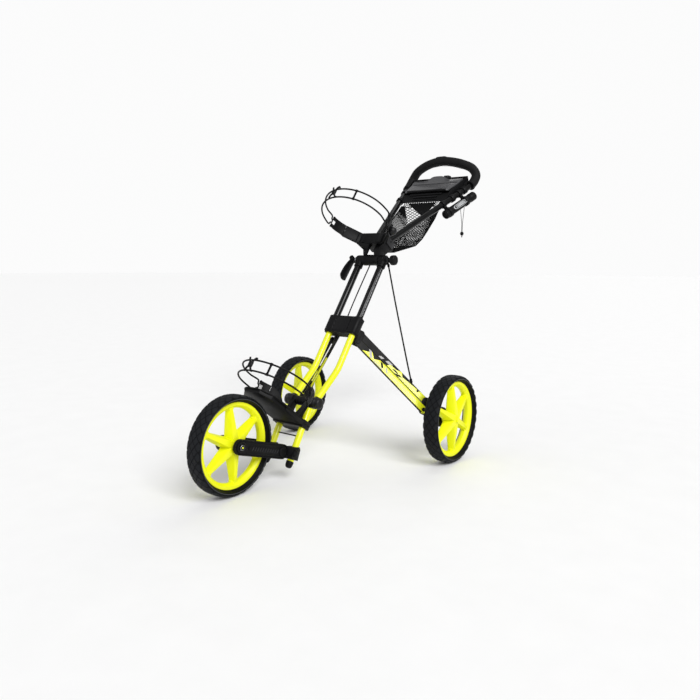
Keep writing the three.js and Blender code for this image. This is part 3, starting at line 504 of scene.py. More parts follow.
def make_stage():
    camera = bpy.data.objects.new("camera", bpy.data.cameras.new("camera"))
    bpy.context.scene.collection.objects.link(camera)
    azimuth, elevation, roll = (math.radians(a) for a in CAMERA_ANGLES)
    back = away_from_middle(azimuth, elevation)
    turned = (-back).to_track_quat("-Z", "Y").to_matrix().to_4x4() @ Matrix.Rotation(roll, 4, "Z")
    camera.matrix_world = Matrix.Translation(CAMERA_PLACE) @ turned
    camera.data.sensor_width = 36
    camera.data.lens = LENS
    camera.data.shift_x, camera.data.shift_y = CAMERA_SHIFT
    bpy.context.scene.camera = camera
    bpy.context.scene.view_settings.view_transform = "Standard"

    world = bpy.data.worlds.new("studio")
    world.use_nodes = True
    tree = world.node_tree
    glow = tree.nodes["Background"]
    glow.inputs["Color"].default_value = (1, 1, 1, 1)
    glow.inputs["Strength"].default_value = GLOW_STRENGTH
    wall = tree.nodes.new("ShaderNodeBackground")
    wall.inputs["Color"].default_value = (1, 1, 1, 1)
    wall.inputs["Strength"].default_value = WALL_BRIGHTNESS
    seen = tree.nodes.new("ShaderNodeLightPath").outputs["Is Camera Ray"]
    choose = tree.nodes.new("ShaderNodeMixShader")
    tree.links.new(seen, choose.inputs[0])
    tree.links.new(glow.outputs[0], choose.inputs[1])
    tree.links.new(wall.outputs[0], choose.inputs[2])
    tree.links.new(choose.outputs[0], tree.nodes["World Output"].inputs["Surface"])
    bpy.context.scene.world = world
    for name, around, height, strength, spread in SUNS:
        data = bpy.data.lights.new(name, "SUN")
        data.energy = strength
        data.angle = spread
        away = away_from_middle(math.radians(around), math.radians(height))
        light = bpy.data.objects.new(name, data)
        light.location = away * 3
        light.rotation_euler = away.to_track_quat("Z", "Y").to_euler()
        bpy.context.scene.collection.objects.link(light)

    mesh = bpy.data.meshes.new("floor")
    verts, faces = capped([(0, FLOOR_RADIUS), (FLOOR_THICKNESS, FLOOR_RADIUS)], 48)
    mesh.from_pydata([(y, z, -x - FLOOR_THICKNESS) for x, y, z in verts], [], faces)
    floor = bpy.data.objects.new("floor", mesh)
    bpy.context.scene.collection.objects.link(floor)
    mesh.materials.append(surface("pale_floor", (0.9, 0.9, 0.9, 1), 0.75, vary=0.01,
                                  grain=((60, 0.02, 0.001),)))


# ------------------------------------------------------------------ wheels
SPOKES = [math.radians(33 + 60 * k) for k in range(6)]
RIM_R = 128.2
# low radius, high radius, half width and top of each step of the block at a spoke's foot
SOCKET_STEPS = ((104.5, 113.5, 12.5, 6.5), (107.5, 114.5, 9.5, 11.0), (110.5, 116, 15.5, 4.0))
TREAD_R = 149.4
TREAD_COUNT = 32
TREAD_DEPTH = 1.7
TREAD_EDGE = 27
DIAMOND = ((-1, 0), (-0.5, -0.5), (0, -1), (0.5, -0.5), (1, 0), (0.5, 0.5), (0, 1), (-0.5, 0.5))


def spoke(angle):
    """One arm of the star: a flat outer face with two sloping sides, tapering from the hub to the rim."""
    out = Vector((0, math.cos(angle), math.sin(angle)))

    def section(t):
        face, foot = 10 - 5.4 * t, 19 - 9.5 * t
        top, back = 23.5 - 13 * t, -13 + 4 * t
        left = [(-face, top), (-foot, back + 3), (-foot + 2, back)]
        return left + [(-a, b) for a, b in reversed(left)]

    path = [out * r for r in (12, 45, 80, 112.6)]
    return sweep(path, section, up=(1, 0, 0))


def rim_socket(angle):
    """The notched block that ties a spoke to the rim."""
    out = Vector((0, math.cos(angle), math.sin(angle)))
    across = Vector((0, -math.sin(angle), math.cos(angle)))
    shapes = []
    for low, high, half, top in SOCKET_STEPS:
        points = [out * radius + across * t + Vector((x, 0, 0))
                  for radius, shrink in ((low, 1.5), (high, 0))
                  for t in (-half + shrink, half - shrink)
                  for x in (-8, top - shrink)]
        shapes.append(hull(points))
    return shapes


def rim_shapes():
    hoop = lathe([
        (14, RIM_R), (14.8, 127), (14.8, 119), (14, 118), (9, 113.4), (7, 111.6), (5.5, 111),
        (-5.5, 111), (-7, 111.6), (-9, 113.4), (-14, 118), (-14.8, 119), (-14.8, 127), (-14, RIM_R),
        (-8, RIM_R - 1.5), (8, RIM_R - 1.5),
    ], 120)
    hub = capped([(-26.5, 13), (-26.5, 17), (-25, 18.5), (-12, 19.5), (14, 19.5), (21, 18.2), (24.2, 15),
                  (25.2, 13.2), (25.2, 9.5), (24.4, 8.8)], 56)
    shapes = [(hoop, "yellow_plastic", 0), (hub, "yellow_plastic", 0)]
    for angle in SPOKES:
        shapes.append((spoke(angle), "yellow_plastic", 1.1))
        shapes.extend((socket, "yellow_plastic", 0.6) for socket in rim_socket(angle))
    return shapes


def tread_point(across, angle, lift):
    """A point on the curved tread, from its distance across the crown in mm."""
    side = 1 if across >= 0 else -1
    a = abs(across)
    crown, shoulder, fall = 15, 12, math.radians(52)
    if a <= crown:
        x, drop, nx, nr = a, 0.6 * (a / crown) ** 2, 0.08 * a / crown, 1
    else:
        bend = min(1.0, (a - crown) / shoulder) * fall
        radius = shoulder / fall
        x = crown + radius * math.sin(bend)
        drop = 0.6 + radius * (1 - math.cos(bend))
        nx, nr = math.sin(bend), math.cos(bend)
    x, r = x + nx * lift, TREAD_R - TREAD_DEPTH - drop + nr * lift
    return (side * x, r * math.cos(angle), r * math.sin(angle))


def tread_blocks():
    """Diamond blocks, staggered row by row, with grooves left between them."""
    verts, faces = [], []
    step = 2 * math.pi / TREAD_COUNT
    half_around, half_across = step * 0.5, 11.0
    for row in range(-2, 3):
        centre = row * half_across
        for k in range(TREAD_COUNT):
            angle = (k + 0.5 * (row % 2)) * step
            first = len(verts)
            for scale, lift in ((0.93, -0.6), (0.83, TREAD_DEPTH)):
                for u, v in (*DIAMOND, (0, 0)):
                    across = max(-TREAD_EDGE, min(TREAD_EDGE, centre + v * half_across * scale))
                    verts.append(tread_point(across, angle + u * half_around * scale, lift))
            for i in range(8):
                j = (i + 1) % 8
                faces.append((first + i, first + j, first + 9 + j, first + 9 + i))
                faces.append((first + 9 + i, first + 9 + j, first + 17))
                faces.append((first + j, first + i, first + 8))
    return verts, faces


def tyre_shapes():
    base = [tread_point(a, 0, 0)[:2] for a in (27, 22, 18, 15, 8, 0, -8, -15, -18, -22, -27)]
    wall = [(-26.6, 139), (-27.2, 137.4), (-26.4, 135.6), (-24, 134.6), (-20, 132.6), (-15, 129.6),
            (-14.4, 128.6)]
    other = [(-x, r) for x, r in reversed(wall)]
    body = lathe(base + wall + other, 144)
    shapes = [(body, "tyre_rubber", 0), (tread_blocks(), "tyre_rubber", 0)]
    for s in (1, -1):
        line = lathe([(s * 26.9, 138.6), (s * 27.5, 138.1), (s * 27.3, 137.3), (s * 26.6, 137.2)], 120)
        shapes.append((line, "tyre_line", 0))
    return shapes


def make_wheel(name, body, x, y):
    side = -1 if x < 0 else 1
    place = CART @ shift(x, y, AXLE_Z) @ mirror(side)
    piece(f"{name}_rim_shell", rim_shapes(), body, "yellow_plastic", f"{name}_rim", place, crease=32)
    piece(f"{name}_tyre_tread", tyre_shapes(), body, "tyre_rubber", f"{name}_tyre", place, crease=32)


def make_wheels():
    make_wheel("front_wheel", "front_wheel", 0, FRONT_WHEEL_Y)
    for side, s in SIDES:
        make_wheel(f"{side}_wheel", f"{side}_wheel", s * REAR_WHEEL_X, 0)


# ------------------------------------------------------------------ main frame
MAIN_TUBE = [(TUBE_X, 0, -287), (TUBE_X, 0.5, -350), (TUBE_X, 1.4, -425), (TUBE_X, 0.8, -451),
             (49.7, -4.1, -476), (49, -18, -527), (FRONT_TUBE_X, -33.1, -582)]
FRONT_HINGE = (-374, 226)                   # y and z of the front hinge in the cart's frame


def mirrored(points, s):
    return [(s * x, y, z) for x, y, z in points]


def ring_bar(x0, x1, y, z, profile, steps=48):
    """A turned piece along X at (y, z); the profile gives (share of the length, radius)."""
    shape = capped([(x0 + (x1 - x0) * t, r) for t, r in profile], steps)
    return moved(shape, shift(0, y, z))


def screw(x, y, z, radius, out, axis="X", depth=2.2):
    """A round screw head with a hexagon recess, facing out along X or Y."""
    profile = [(-1.0, radius), (depth * 0.6, radius), (depth, radius - 0.9), (depth, radius * 0.55)]
    head = capped(profile, 32)
    # The hexagon recess is a flat near-black patch on the head: painted shade inside it.
    recess = lathe([(depth + 0.02, radius * 0.5), (depth + 0.02, 0.01)], 6, closed=False)
    align = turn(90, "Z") if axis == "Y" else turn(0, "X")
    flip = Matrix.Identity(4) if out > 0 else turn(180, "Z")
    place = shift(x, y, z) @ flip @ align
    return [moved(head, place), (moved(recess, place), "dark_hole", 0)]


def tube_mark(x, angles, radii, levels):
    """A thin pale mark on an upright tube at x, between two angles, two radii and two heights; used for the
    painted reflection lines and for dashes of print.
    """
    corners = [(x + r * math.cos(a), r * math.sin(a), z) for z in levels for r in radii for a in angles]
    return (hull(corners), "pale_print", 0)


def make_upper_tubes():
    for side, s in SIDES:
        x = s * TUBE_X
        shapes = [moved(rounded(10, 285, 12.3, 0.6, 40), shift(x, 0, 0) @ turn(90, "Y"))]
        angle = math.radians(-27 if s > 0 else -153)
        # The two long pale lines are a painted reflection of the highlight along the glossy tube; the short
        # dashes beside them are print.
        for offset, half, low, high in ((0.0, 0.028, -246, -40), (0.16, 0.012, -240, -60)):
            middle = angle + offset
            shapes.append(tube_mark(x, (middle - half, middle + half), (12.2, 12.42), (low, high)))
        for k in range(14):
            z = -232 + k * 12.5
            shapes.append(tube_mark(x, (angle + 0.05, angle + 0.13), (12.2, 12.4), (z - 1.2, z + 1.2)))
        piece(f"upper_tube_{side}_painted", shapes, "main_frame", "black_paint", f"upper_tube_{side}",
              LEANING, crease=30)


def make_main_tubes():
    for side, s in SIDES:
        shape = tube(mirrored(MAIN_TUBE, s), 11, 32, 7)
        piece(f"main_tube_{side}_painted", [shape], "main_frame", "yellow_paint", f"main_tube_{side}",
              LEANING)


def make_hinge_bosses():
    for side, s in SIDES:
        cap = ring_bar(s * 34.5, s * 64, 0, 0, [(0, 16.5), (0.04, 17.6), (0.2, 18), (0.72, 18), (0.76, 16.9),
                                                (0.82, 16.9), (0.86, 17.6), (0.95, 17.2), (1, 15)])
        socket = moved(capped([(4, 13.5), (6, 15.5), (26, 15.5), (28, 16), (31, 16), (32, 15)], 40),
                       shift(s * TUBE_X, 0, 0) @ turn(90, "Y"))
        shapes = [cap, socket, *screw(s * TUBE_X, -15.4, -21, 4, -1, "Y")]
        piece(f"hinge_boss_{side}_moulded", shapes, "main_frame", "black_plastic", f"hinge_boss_{side}",
              LEANING)


def make_collar():
    """The collar that holds both tubes, with rounded sleeves, a front plate, screws and lips."""
    shapes = [black(from_cad("leg_collar", LEANING), 1.6)]
    for s in (1, -1):
        outline = []
        for corner, (x, y) in enumerate(((55, 6), (41, 6), (41, -6.5), (55, -6.5))):
            for k in range(9):
                a = math.radians(90 * corner + 90 * k / 8)
                outline.append((s * (x + 13 * math.cos(a)), y + 13 * math.sin(a)))
        shapes.append(black(prism(outline, -315.5, -256, "Z"), 1.8))
    plate = prism([(-29.5, -18.0), (29.5, -18.0), (29.5, -15), (-29.5, -15)], -311, -261, "Z")
    shapes.append(black(plate, 1.6))
    for s in (1, -1):
        shapes += screw(s * 66, 0, -266, 4.2, s, "X", 2.5)
        shapes += screw(s * 64.4, 0, -308, 4.2, s, "X", 2.5)
        lip = capped([(-2, 14.2), (-2, 15.4), (3, 15.4), (4, 14.2)], 40)
        shapes.append(black(moved(lip, shift(s * TUBE_X, 0, -252) @ turn(90, "Y"))))
    piece("leg_collar_moulded", shapes, "main_frame", "black_plastic", "leg_collar", LEANING)


def make_front_knuckles():
    for side, s in SIDES:
        profile = [(0, 15), (0.03, 18.4), (0.1, 19), (0.5, 19), (0.53, 17.8), (0.58, 17.8), (0.61, 19),
                   (0.8, 18.6), (0.88, 17.2), (0.95, 14), (0.99, 9), (1, 5)]
        shapes = [ring_bar(s * 38, s * 75, *FRONT_HINGE, profile, 56)]
        shapes += rib_ring(10, 18.2, s * 45, s * 55, FRONT_HINGE, 1.6)
        piece(f"front_knuckle_{side}_moulded", shapes, "main_frame", "dark_plastic", f"front_knuckle_{side}")


CABLE_LEFT = [(63, 23, 678), (71, 21, 650), (107, 4, 545), (158, -19, 402), (195, -35, 300),
              (210.8, -42.2, 261)]
CABLE_MIDDLE = [(0, 0, -23), (0.5, -1.5, -60), (0, -2.5, -150), (-0.5, -1.5, -230), (0, 0, -272)]


def make_cables():
    """The left cable, with a ferrule at each end, and the middle one between the upper tubes."""
    shapes = [tube(CABLE_LEFT, 2.8, 14, 8)]
    for start, end in (((204.5, -39.3, 276.5), (209.6, -41.7, 264)), ((67.2, 22, 663), (64.2, 22.7, 674))):
        shapes.append(bar(start, end, 4.6, 0.8, 16))
    outer = piece("brake_cable_left_sleeve", shapes, None, "cable_sleeve", "brake_cable_left")
    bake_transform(outer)
    piece("brake_cable_middle_sleeve", [tube(CABLE_MIDDLE, 2.2, 14, 8)], "main_frame", "cable_sleeve",
          "brake_cable_middle", LEANING)


def make_clamp_lever():
    """A curved lever with an eye at its pivot, wider towards its free end."""
    path = [(-84, -5, 4), (-84, -5, -6), (-84, -9, -24), (-83, -15, -50), (-81, -20, -78), (-80, -22, -100)]
    round_end = 0.9                         # the share of the length where the end starts to round off

    def section(t):
        width = 11.5 + 8.5 * math.sin(min(1.0, t * 1.15) * math.pi / 2)
        if t > round_end:
            width *= math.sqrt(max(0.1, 1 - ((t - round_end) / 0.115) ** 2))
        thick = 4.1 + 1.1 * math.sin(t * math.pi)
        return [(width * math.sin(a), thick * math.cos(a)) for a in
                (-2 * math.pi * k / 24 for k in range(24))]

    eye = capped([(-20, 6), (-19.4, 8), (-18, 8.8), (8, 8.8), (9.4, 8), (10, 6)], 40)
    shapes = [sweep(smooth_path(path, 4), section, up=(1, 0, 0)),
              moved(eye, shift(-84, 0, 0) @ turn(90, "Z"))]
    for k in range(5):
        z = -58 - k * 8
        y = -16 - k * 1.6
        shapes.append(bar((-86.2, y - 9, z), (-86.2, y + 9, z), 1.1, 0.6, 12))
    shapes += screw(-84, -20, 0, 4.4, -1, "Y", 1.4)
    piece("clamp_lever_moulded", shapes, "clamp", "black_plastic", "clamp_lever", LEANING)


def make_brake_knob():
    """A neck and a round grip with eight shallow hollows round it."""
    neck = capped([(72.4, 8), (73, 9), (80, 9), (84, 11)], 40)
    grip = []
    profile = [(83, 12), (84.5, 16.5), (88, 18.4), (99, 18.4), (102, 17), (104, 13), (104, 9), (103.2, 8.4)]
    verts, faces = capped(profile, 96)
    for x, y, z in verts:
        r = math.hypot(y, z)
        a = math.atan2(z, y)
        pull = 1 - 0.055 * (0.5 + 0.5 * math.cos(8 * a)) if r > 11 and 84 < x < 103 else 1
        grip.append((x, y * pull, z * pull))
    piece("brake_knob_moulded", [neck, (grip, faces)], "knob", "black_plastic", "brake_knob", LEANING,
          crease=40)


# ------------------------------------------------------------------ handle
def arm_x(y):
    return 38 + (y - 96) * 0.283


def arm_z(y):
    return 770 + (y - 96) * 0.554


CROWN = [(152, 513, 1007), (149.5, 536, 1036), (131, 538, 1063), (94, 529, 1082), (48, 520, 1095),
         (0, 516, 1100)]
HANDLE_HALF = [(arm_x(y), y, arm_z(y)) for y in (57, 130, 240, 350, 440, 480)] + CROWN
ARM_SLOPE = Vector((0.2411, 0.8519, 0.4648)).normalized()
GRIP_START_Y = 489
GRIP_RADIUS = 18.8
GRIP_END_RADIUS = 17.2
GRIP_END_SHARE = 0.012


def both_halves(half):
    return half + [(-x, y, z) for x, y, z in reversed(half[:-1])]


def beside_arm(y, offset=0.0):
    return Vector((arm_x(y) + 30 * offset, y, arm_z(y) - 31 * offset))


def along_arm(y, offset=0.0, s=1):
    """A frame at a point of the arm (or of the umbrella tube), its X axis along the arm."""
    spot = beside_arm(y, offset)
    ahead = ARM_SLOPE.copy()
    if s < 0:
        spot.x, ahead.x = -spot.x, -ahead.x
    return Matrix.Translation(spot) @ ahead.to_track_quat("X", "Z").to_matrix().to_4x4()


def make_handle():
    path = smooth_path(both_halves(HANDLE_HALF), 7)
    piece("handle_tube_painted", [sweep(path, circle(11.5, 28))], "handle", "black_paint", "handle_tube")

    grip_start = (arm_x(GRIP_START_Y), GRIP_START_Y, arm_z(GRIP_START_Y) + 1)
    route = smooth_path(both_halves([grip_start, *CROWN]), 5)

    def section(t):
        share = min(1, min(t, 1 - t) / GRIP_END_SHARE)
        radius = GRIP_END_RADIUS + (GRIP_RADIUS - GRIP_END_RADIUS) * share
        return [(x * 0.96, y) for x, y in circle(radius, 32)]

    shapes = [sweep(route, section)]
    seam = [(0, 513.7, 1080.9), (48, 517.6, 1075.9), (94, 526.6, 1062.9)]
    collar = capped([(-4, 16.4), (-4, 17.8), (-2.5, 19.0), (3.5, 19.0), (5, 18.2)], 40)
    for s in (1, -1):
        shapes.append(black(moved(collar, along_arm(491, 0, s))))
        shapes.append(black(tube(mirrored(seam, s), 0.7, 8, 8)))
    for material, bevel, corners in (
        ("dark_plastic", 1.0, ((24, 508, 1116), (26, 527, 1114.5), (20, 510, 1119.4), (22, 525, 1118.4))),
        ("grey_plastic", 0.4, ((15, 512, 1118.8), (15, 522, 1118.1), (14, 512, 1120.2), (14, 522, 1119.6))),
    ):
        shapes.append((hull(mirrored(corners, 1) + mirrored(corners, -1)), material, bevel))
    piece("handle_grip_foam", shapes, "handle", "grip_foam", "handle_grip")


def arm_inner(y):
    return arm_x(y) - 16


def make_console():
    """The tray between the arms, with a slot across its front and clips round both arms."""
    shapes = [black(from_cad("console_tray", CART), 1.4)]
    front = Vector((0, 397 - 372, 964 - 921)).normalized()
    outward = Vector((0, -front.z, front.y))
    middle = Vector((0, 384, 942)) + outward * 0.4

    for half, low, high, proud, material, bevel in (
        (74, 10, 17, 2.6, "black_plastic", 1.2),
        # The slot is a near-black strip on the tray's front: painted shade in it.
        (52, -10, -2, 1.0, "dark_hole", 0.3),
        (56, -1, 1.6, 3.4, "dark_plastic", 0.6),
        (56, -12.8, -10.6, 2.4, "dark_plastic", 0.6),
    ):
        points = [middle + front * level + outward * depth + Vector((x, 0, 0))
                  for x in (half, -half) for level in (low, high) for depth in (-1, proud)]
        shapes.append((hull(points), material, bevel))
    for s in (1, -1):
        for y in (388, 452):
            clip = lathe([(-9, 12), (-9, 14.6), (-7.5, 15.6), (7.5, 15.6), (9, 14.6), (9, 12)], 40)
            shapes.append(black(moved(clip, along_arm(y, 0, s))))
            tab = x_hull((arm_inner(y) - 3, arm_inner(y) + 6),
                         [(y + dy, arm_z(y) + dz) for dy, dz in ((-7, -9), (7, -2), (-7, 3), (7, 10))], s)
            shapes.append(black(tab, 1.0))
    piece("console_tray_moulded", shapes, "handle", "black_plastic", "console_tray")


def smooth_step(t):
    t = max(0.0, min(1.0, t))
    return t * t * (3 - 2 * t)


LID_ROUND = 3.4
LID_FRONT_Y = 393.5
LID_DEPTH = 97
LID_MEAN_HALF = 107
LID_THICKNESS = 5.4


def lid_plane(v):
    """The height of the sloping plane that the lid is shaped on."""
    return 971 + 46 * v


def lid_surface(u, v):
    """A point of the lid's top: u across (-1 to 1), v from the front edge (0) to the back (1)."""
    half = 99.5 + 15.5 * v                  # the lid widens towards the back
    crown = 2.4 * math.cos(u * math.pi / 2) * math.sin(math.pi * min(1, v * 1.1))
    step = 4.6 * smooth_step((v - 0.6 - 0.09 * u * u) / 0.1)
    hump = 16 * math.exp(-((u * half) / 40) ** 4) * smooth_step((v - 0.66) / 0.3)
    z = lid_plane(v) + crown + step + hump
    rim = min((1 - abs(u)) * half, v * LID_DEPTH, (1 - v) * LID_DEPTH)
    if rim < LID_ROUND:
        z -= LID_ROUND - math.sqrt(max(0.0, LID_ROUND ** 2 - (LID_ROUND - rim) ** 2))
    return (u * half, LID_FRONT_Y + LID_DEPTH * v, z)


def make_lid():
    """A thin moulded lid with a rounded rim, its hinge roll, edge strip, groove and latch."""
    rim_rows = (0.0, 0.15, 0.5, 1.1, 2.0, LID_ROUND)
    near = [a / LID_MEAN_HALF for a in rim_rows]
    far = [1 - a for a in reversed(near)]
    across = [-a for a in reversed(far)] + [-0.96 + 1.92 * i / 76 for i in range(77)] + far
    near = [a / LID_DEPTH for a in rim_rows]
    deep = near + [0.05 + 0.9 * i / 56 for i in range(57)] + [1 - a for a in reversed(near)]
    top = [lid_surface(u, v) for v in deep for u in across]
    levels = [lid_plane(v) for v in deep for _ in across]
    verts = top + [(x, y, level - LID_THICKNESS + 1.2 + (z - level) * 0.8)
                   for (x, y, z), level in zip(top, levels)]
    row, size = len(across), len(across) * len(deep)
    faces = []
    for j in range(len(deep) - 1):
        for i in range(row - 1):
            a = j * row + i
            faces.append((a, a + 1, a + row + 1, a + row))
            faces.append((size + a, size + a + row, size + a + row + 1, size + a + 1))
    last = len(deep) - 1
    rim = ([j * row for j in range(last, 0, -1)] + list(range(row - 1)) +
           [j * row + row - 1 for j in range(last)] + [last * row + i for i in range(row - 1, 0, -1)])
    faces += [(a, size + a, size + b, b) for a, b in zip(rim, rim[1:] + rim[:1])]
    shapes = [((verts, faces), "grey_plastic", 0)]
    roll = capped([(-90, 3.6), (-88.5, 5), (88.5, 5), (90, 3.6)], 28)
    knuckles = [capped([(x - 13, 4.6), (x - 12, 5.6), (x + 12, 5.6), (x + 13, 4.6)], 28) for x in (-60, 60)]
    for part in (roll, *knuckles):
        shapes.append(black(moved(part, shift(0, 392, 968))))
    shapes.append((bar((-98, 393.4, 968.6), (98, 393.4, 968.6), 1.6, 0.8, 20), "lid_edge", 0))
    # The groove is a near-black tube laid on the lid: painted shade in the groove.
    groove = []
    for k in range(25):
        u = -0.93 + 1.86 * k / 24
        x, y, z = lid_surface(u, 0.605 + 0.09 * u * u)
        groove.append((x, y, z + 0.2))
    shapes.append((tube(groove, 1.1, 8, 6), "dark_hole", 0))
    latch = x_hull((28, 46), ((488, 1029), (488, 1036.8), (516, 1036.8), (518, 1034), (518, 1016),
                              (514, 1014), (508, 1029)))
    shapes.append(black(latch, 1.2))
    for y in (497, 501, 505, 509):
        shapes.append(black(bar((30, y, 1037), (44, y, 1037), 0.9, 0.4, 10)))
    piece("console_lid_moulded", shapes, "lid", "grey_plastic", "console_lid", crease=50)


# The net hangs between the two arms: a rim along each arm, a keel below, closed at the front.
NET_TOP = ((124, 784), (366, 908))
NET_KEEL = [(124, 717, 27), (262, 743, 36), (302, 770, 42), (331, 804, 50), (354, 852, 70), (366, 908, 90)]
NET_FLOOR_SHARE = 0.26                      # the share of each half section that lies flat at the bottom
NET_FLOOR_WIDTH = 0.94
NET_CORD_R = 1.25
SHORTEST_CORD = 0.5


def net_half(y):
    return arm_x(y) - 14.5


def net_point(t, s):
    """t runs from the front to the back, s round the section from the left rim to the right rim."""
    (y0, z0), (y1, z1) = NET_TOP
    top = Vector((0, y0 + (y1 - y0) * t, z0 + (z1 - z0) * t))
    spread = net_half(134 + (362 - 134) * t)
    lengths = [0.0]
    for a, b in zip(NET_KEEL, NET_KEEL[1:]):
        lengths.append(lengths[-1] + math.hypot(b[0] - a[0], b[1] - a[1]))
    goal = t * lengths[-1]
    for i, (a, b) in enumerate(zip(NET_KEEL, NET_KEEL[1:])):
        if goal <= lengths[i + 1] + 1e-6:
            f = (goal - lengths[i]) / (lengths[i + 1] - lengths[i])
            y, z, half = (a[k] + (b[k] - a[k]) * f for k in range(3))
            break
    u = abs(2 * s - 1)
    side = 1 if s < 0.5 else -1
    half *= NET_FLOOR_WIDTH
    if u < NET_FLOOR_SHARE:
        x, drop = half * u / NET_FLOOR_SHARE, 1.0
    else:
        f = (u - NET_FLOOR_SHARE) / (1 - NET_FLOOR_SHARE)
        x, drop = half + (spread - half) * f ** 0.85, 1 - f
    return Vector((side * x, top.y + (y - top.y) * drop, top.z + (z - top.z) * drop))


def lattice(point, along, across, radius):
    """Diamond netting over a surface: thin square cords between the corners of a slanted grid."""
    spots = {(i, j): Vector(point(i / along, j / across))
             for i in range(along + 1) for j in range(across + 1) if (i + j) % 2 == 0}
    verts, faces = [], []
    for (i, j), a in spots.items():
        for b in (spots.get((i + 1, j + 1)), spots.get((i + 1, j - 1))):
            if b is None or (b - a).length < SHORTEST_CORD:
                continue
            ahead = (b - a).normalized()
            pick = Vector((0, 0, 1)) if abs(ahead.z) < 0.9 else Vector((1, 0, 0))
            side = ahead.cross(pick).normalized() * radius
            lift = side.cross(ahead)
            over = ahead * radius * 0.4
            cord, skin = loft([[p + q for q in (side, lift, -side, -lift)] for p in (a - over, b + over)])
            faces += [tuple(len(verts) + k for k in face) for face in skin]
            verts += cord
    return verts, faces


def make_net():
    """Netting over the sides, front and back, with an elastic rim, two seams and three cross bands."""
    def front(u, v):
        low, high = net_point(0, 0.5), net_point(0, 0)
        foot = NET_KEEL[0][2] * NET_FLOOR_WIDTH
        half = foot + (net_half(134) - foot) * v
        return Vector(((2 * u - 1) * half, 124.3, low.z + (high.z - low.z) * v))

    def back(u, v):
        return Vector(((2 * u - 1) * (94 - 4 * v), 366 + 6 * v, 908 + 13 * v))

    shapes = [lattice(face, along, across, NET_CORD_R)
              for face, along, across in ((net_point, 60, 54), (front, 14, 14), (back, 34, 2))]
    for s, radius, sides in ((0, 2.2, 12), (0.63, 0.9, 8), (1, 2.2, 12), (0.37, 0.9, 8)):
        shapes.append(sweep([net_point(k / 24, s) for k in range(25)], circle(radius, sides)))
    for t, radius, sides in ((0, 1.8, 12), (0.985, 1.8, 12), (0.74, 1.3, 10)):
        shapes.append(sweep([net_point(t, k / 24) for k in range(25)], circle(radius, sides)))
    piece("storage_net_mesh", shapes, "handle", "net_cord", "storage_net", crease=60)


def make_net_panel():
    """A triangle of stretched fabric over the back of the net, from the tray down to the left arm."""
    verts, faces = [], []
    corner_a, corner_b, corner_c = (Vector(p) for p in ((-72, 372, 919), (62, 372, 919), (70, 252, 855)))
    count = 18
    index = {}
    for i in range(count + 1):
        for j in range(count + 1 - i):
            a, b = i / count, j / count
            spot = corner_b + (corner_a - corner_b) * a + (corner_c - corner_b) * b
            sag = math.sin(math.pi * min(1, a * 1.3)) * math.sin(math.pi * min(1, b * 1.3))
            spot += Vector((0, 0.6, -1)) * 3.0 * sag
            spot.z += 0.5 * noise.noise(spot * 0.06)
            index[i, j] = len(verts)
            verts.append(tuple(spot))
    for i in range(count):
        for j in range(count - i):
            faces.append((index[i, j], index[i + 1, j], index[i, j + 1]))
            if (i + 1, j + 1) in index and i + j + 2 <= count:
                faces.append((index[i + 1, j], index[i + 1, j + 1], index[i, j + 1]))
    corners = ([Vector(verts[k]) for k in f] for f in faces)
    mesh_area = sum((q - p).cross(r - p).length / 2 for p, q, r in corners)
    obj = piece("net_panel", [(verts, faces)], "handle", "panel_fabric")
    solid = obj.modifiers.new("thickness", "SOLIDIFY")
    solid.thickness = 0.0006


def oval_patch(low, high, middle, half, inner, outer):
    """A thin oval figure lying on a tube along X."""
    steps, sides = 24, 10
    rings = []
    for i in range(steps + 1):
        t = math.pi * i / steps
        x = (low + high) / 2 - (high - low) / 2 * math.cos(t)
        reach = half * max(0.03, math.sin(t)) ** 0.7
        angles = [middle - reach + 2 * reach * k / sides for k in range(sides + 1)]
        rings.append([(x, r * math.cos(a), r * math.sin(a))
                      for r, row in ((outer, angles), (inner, angles[::-1])) for a in row])
    return loft(rings)


def make_umbrella_tube():
    start, end = beside_arm(318, 1), beside_arm(470, 1)
    place = Matrix.Translation(start) @ (end - start).to_track_quat("X", "Z").to_matrix().to_4x4()
    length = (end - start).length
    outer = [(0.4, 14), (0, 15.5), (1.6, 17), (4, 17.4), (24, 17.4), (26, 16.4), (27.5, 15.8), (30, 16.3),
             (length - 34, 16.3), (length - 31, 15.8), (length - 29, 16.6), (length - 27, 17.6),
             (length - 3, 17.6), (length - 0.6, 16.8), (length, 15.4), (length - 0.4, 13.4)]
    inner = [(length - 3, 12.9), (20, 12.9), (20, 0.01)]
    shape = lathe([(0.4, 0.01), *outer, *inner], 56, closed=False)
    shapes = [black(moved(shape, place))]
    facing = math.radians(152)
    for low, high, offset, width, inner, material in (
        (44, 124, 0, 0.62, 16.2, "pale_print"),
        (48, 120, 0, 0.52, 16.4, "black_plastic"),
        (56, 112, 0.24, 0.1, 16.6, "pale_print"),
        (52, 116, -0.02, 0.08, 16.6, "pale_print"),
        (60, 108, -0.27, 0.09, 16.6, "pale_print"),
    ):
        patch = oval_patch(low, high, facing + offset, width, inner, inner + 0.3)
        shapes.append((moved(patch, place), material, 0))
    shapes += [moved(rib, place) for rib in rib_ring(12, 17.2, 6, 22, (0, 0), 0.8)]
    piece("umbrella_tube_moulded", shapes, "handle", "black_plastic", "umbrella_tube", crease=30)
    for name, y in (("low", 340), ("high", 425)):
        shapes = [black(from_cad(f"umbrella_bracket_{name}", CART), 0.9)]
        spot = along_arm(y, 0.5)
        for s in (1, -1):
            head = capped([(0, 3.6), (1.6, 3.6), (2.4, 2.8)], 24)
            shapes.append((moved(head, spot @ turn(90 * s, "Y") @ shift(7.2, 0, 0)), "black_steel", 0))
        piece(f"umbrella_bracket_{name}_moulded", shapes, "handle", "black_plastic",
              f"umbrella_bracket_{name}")


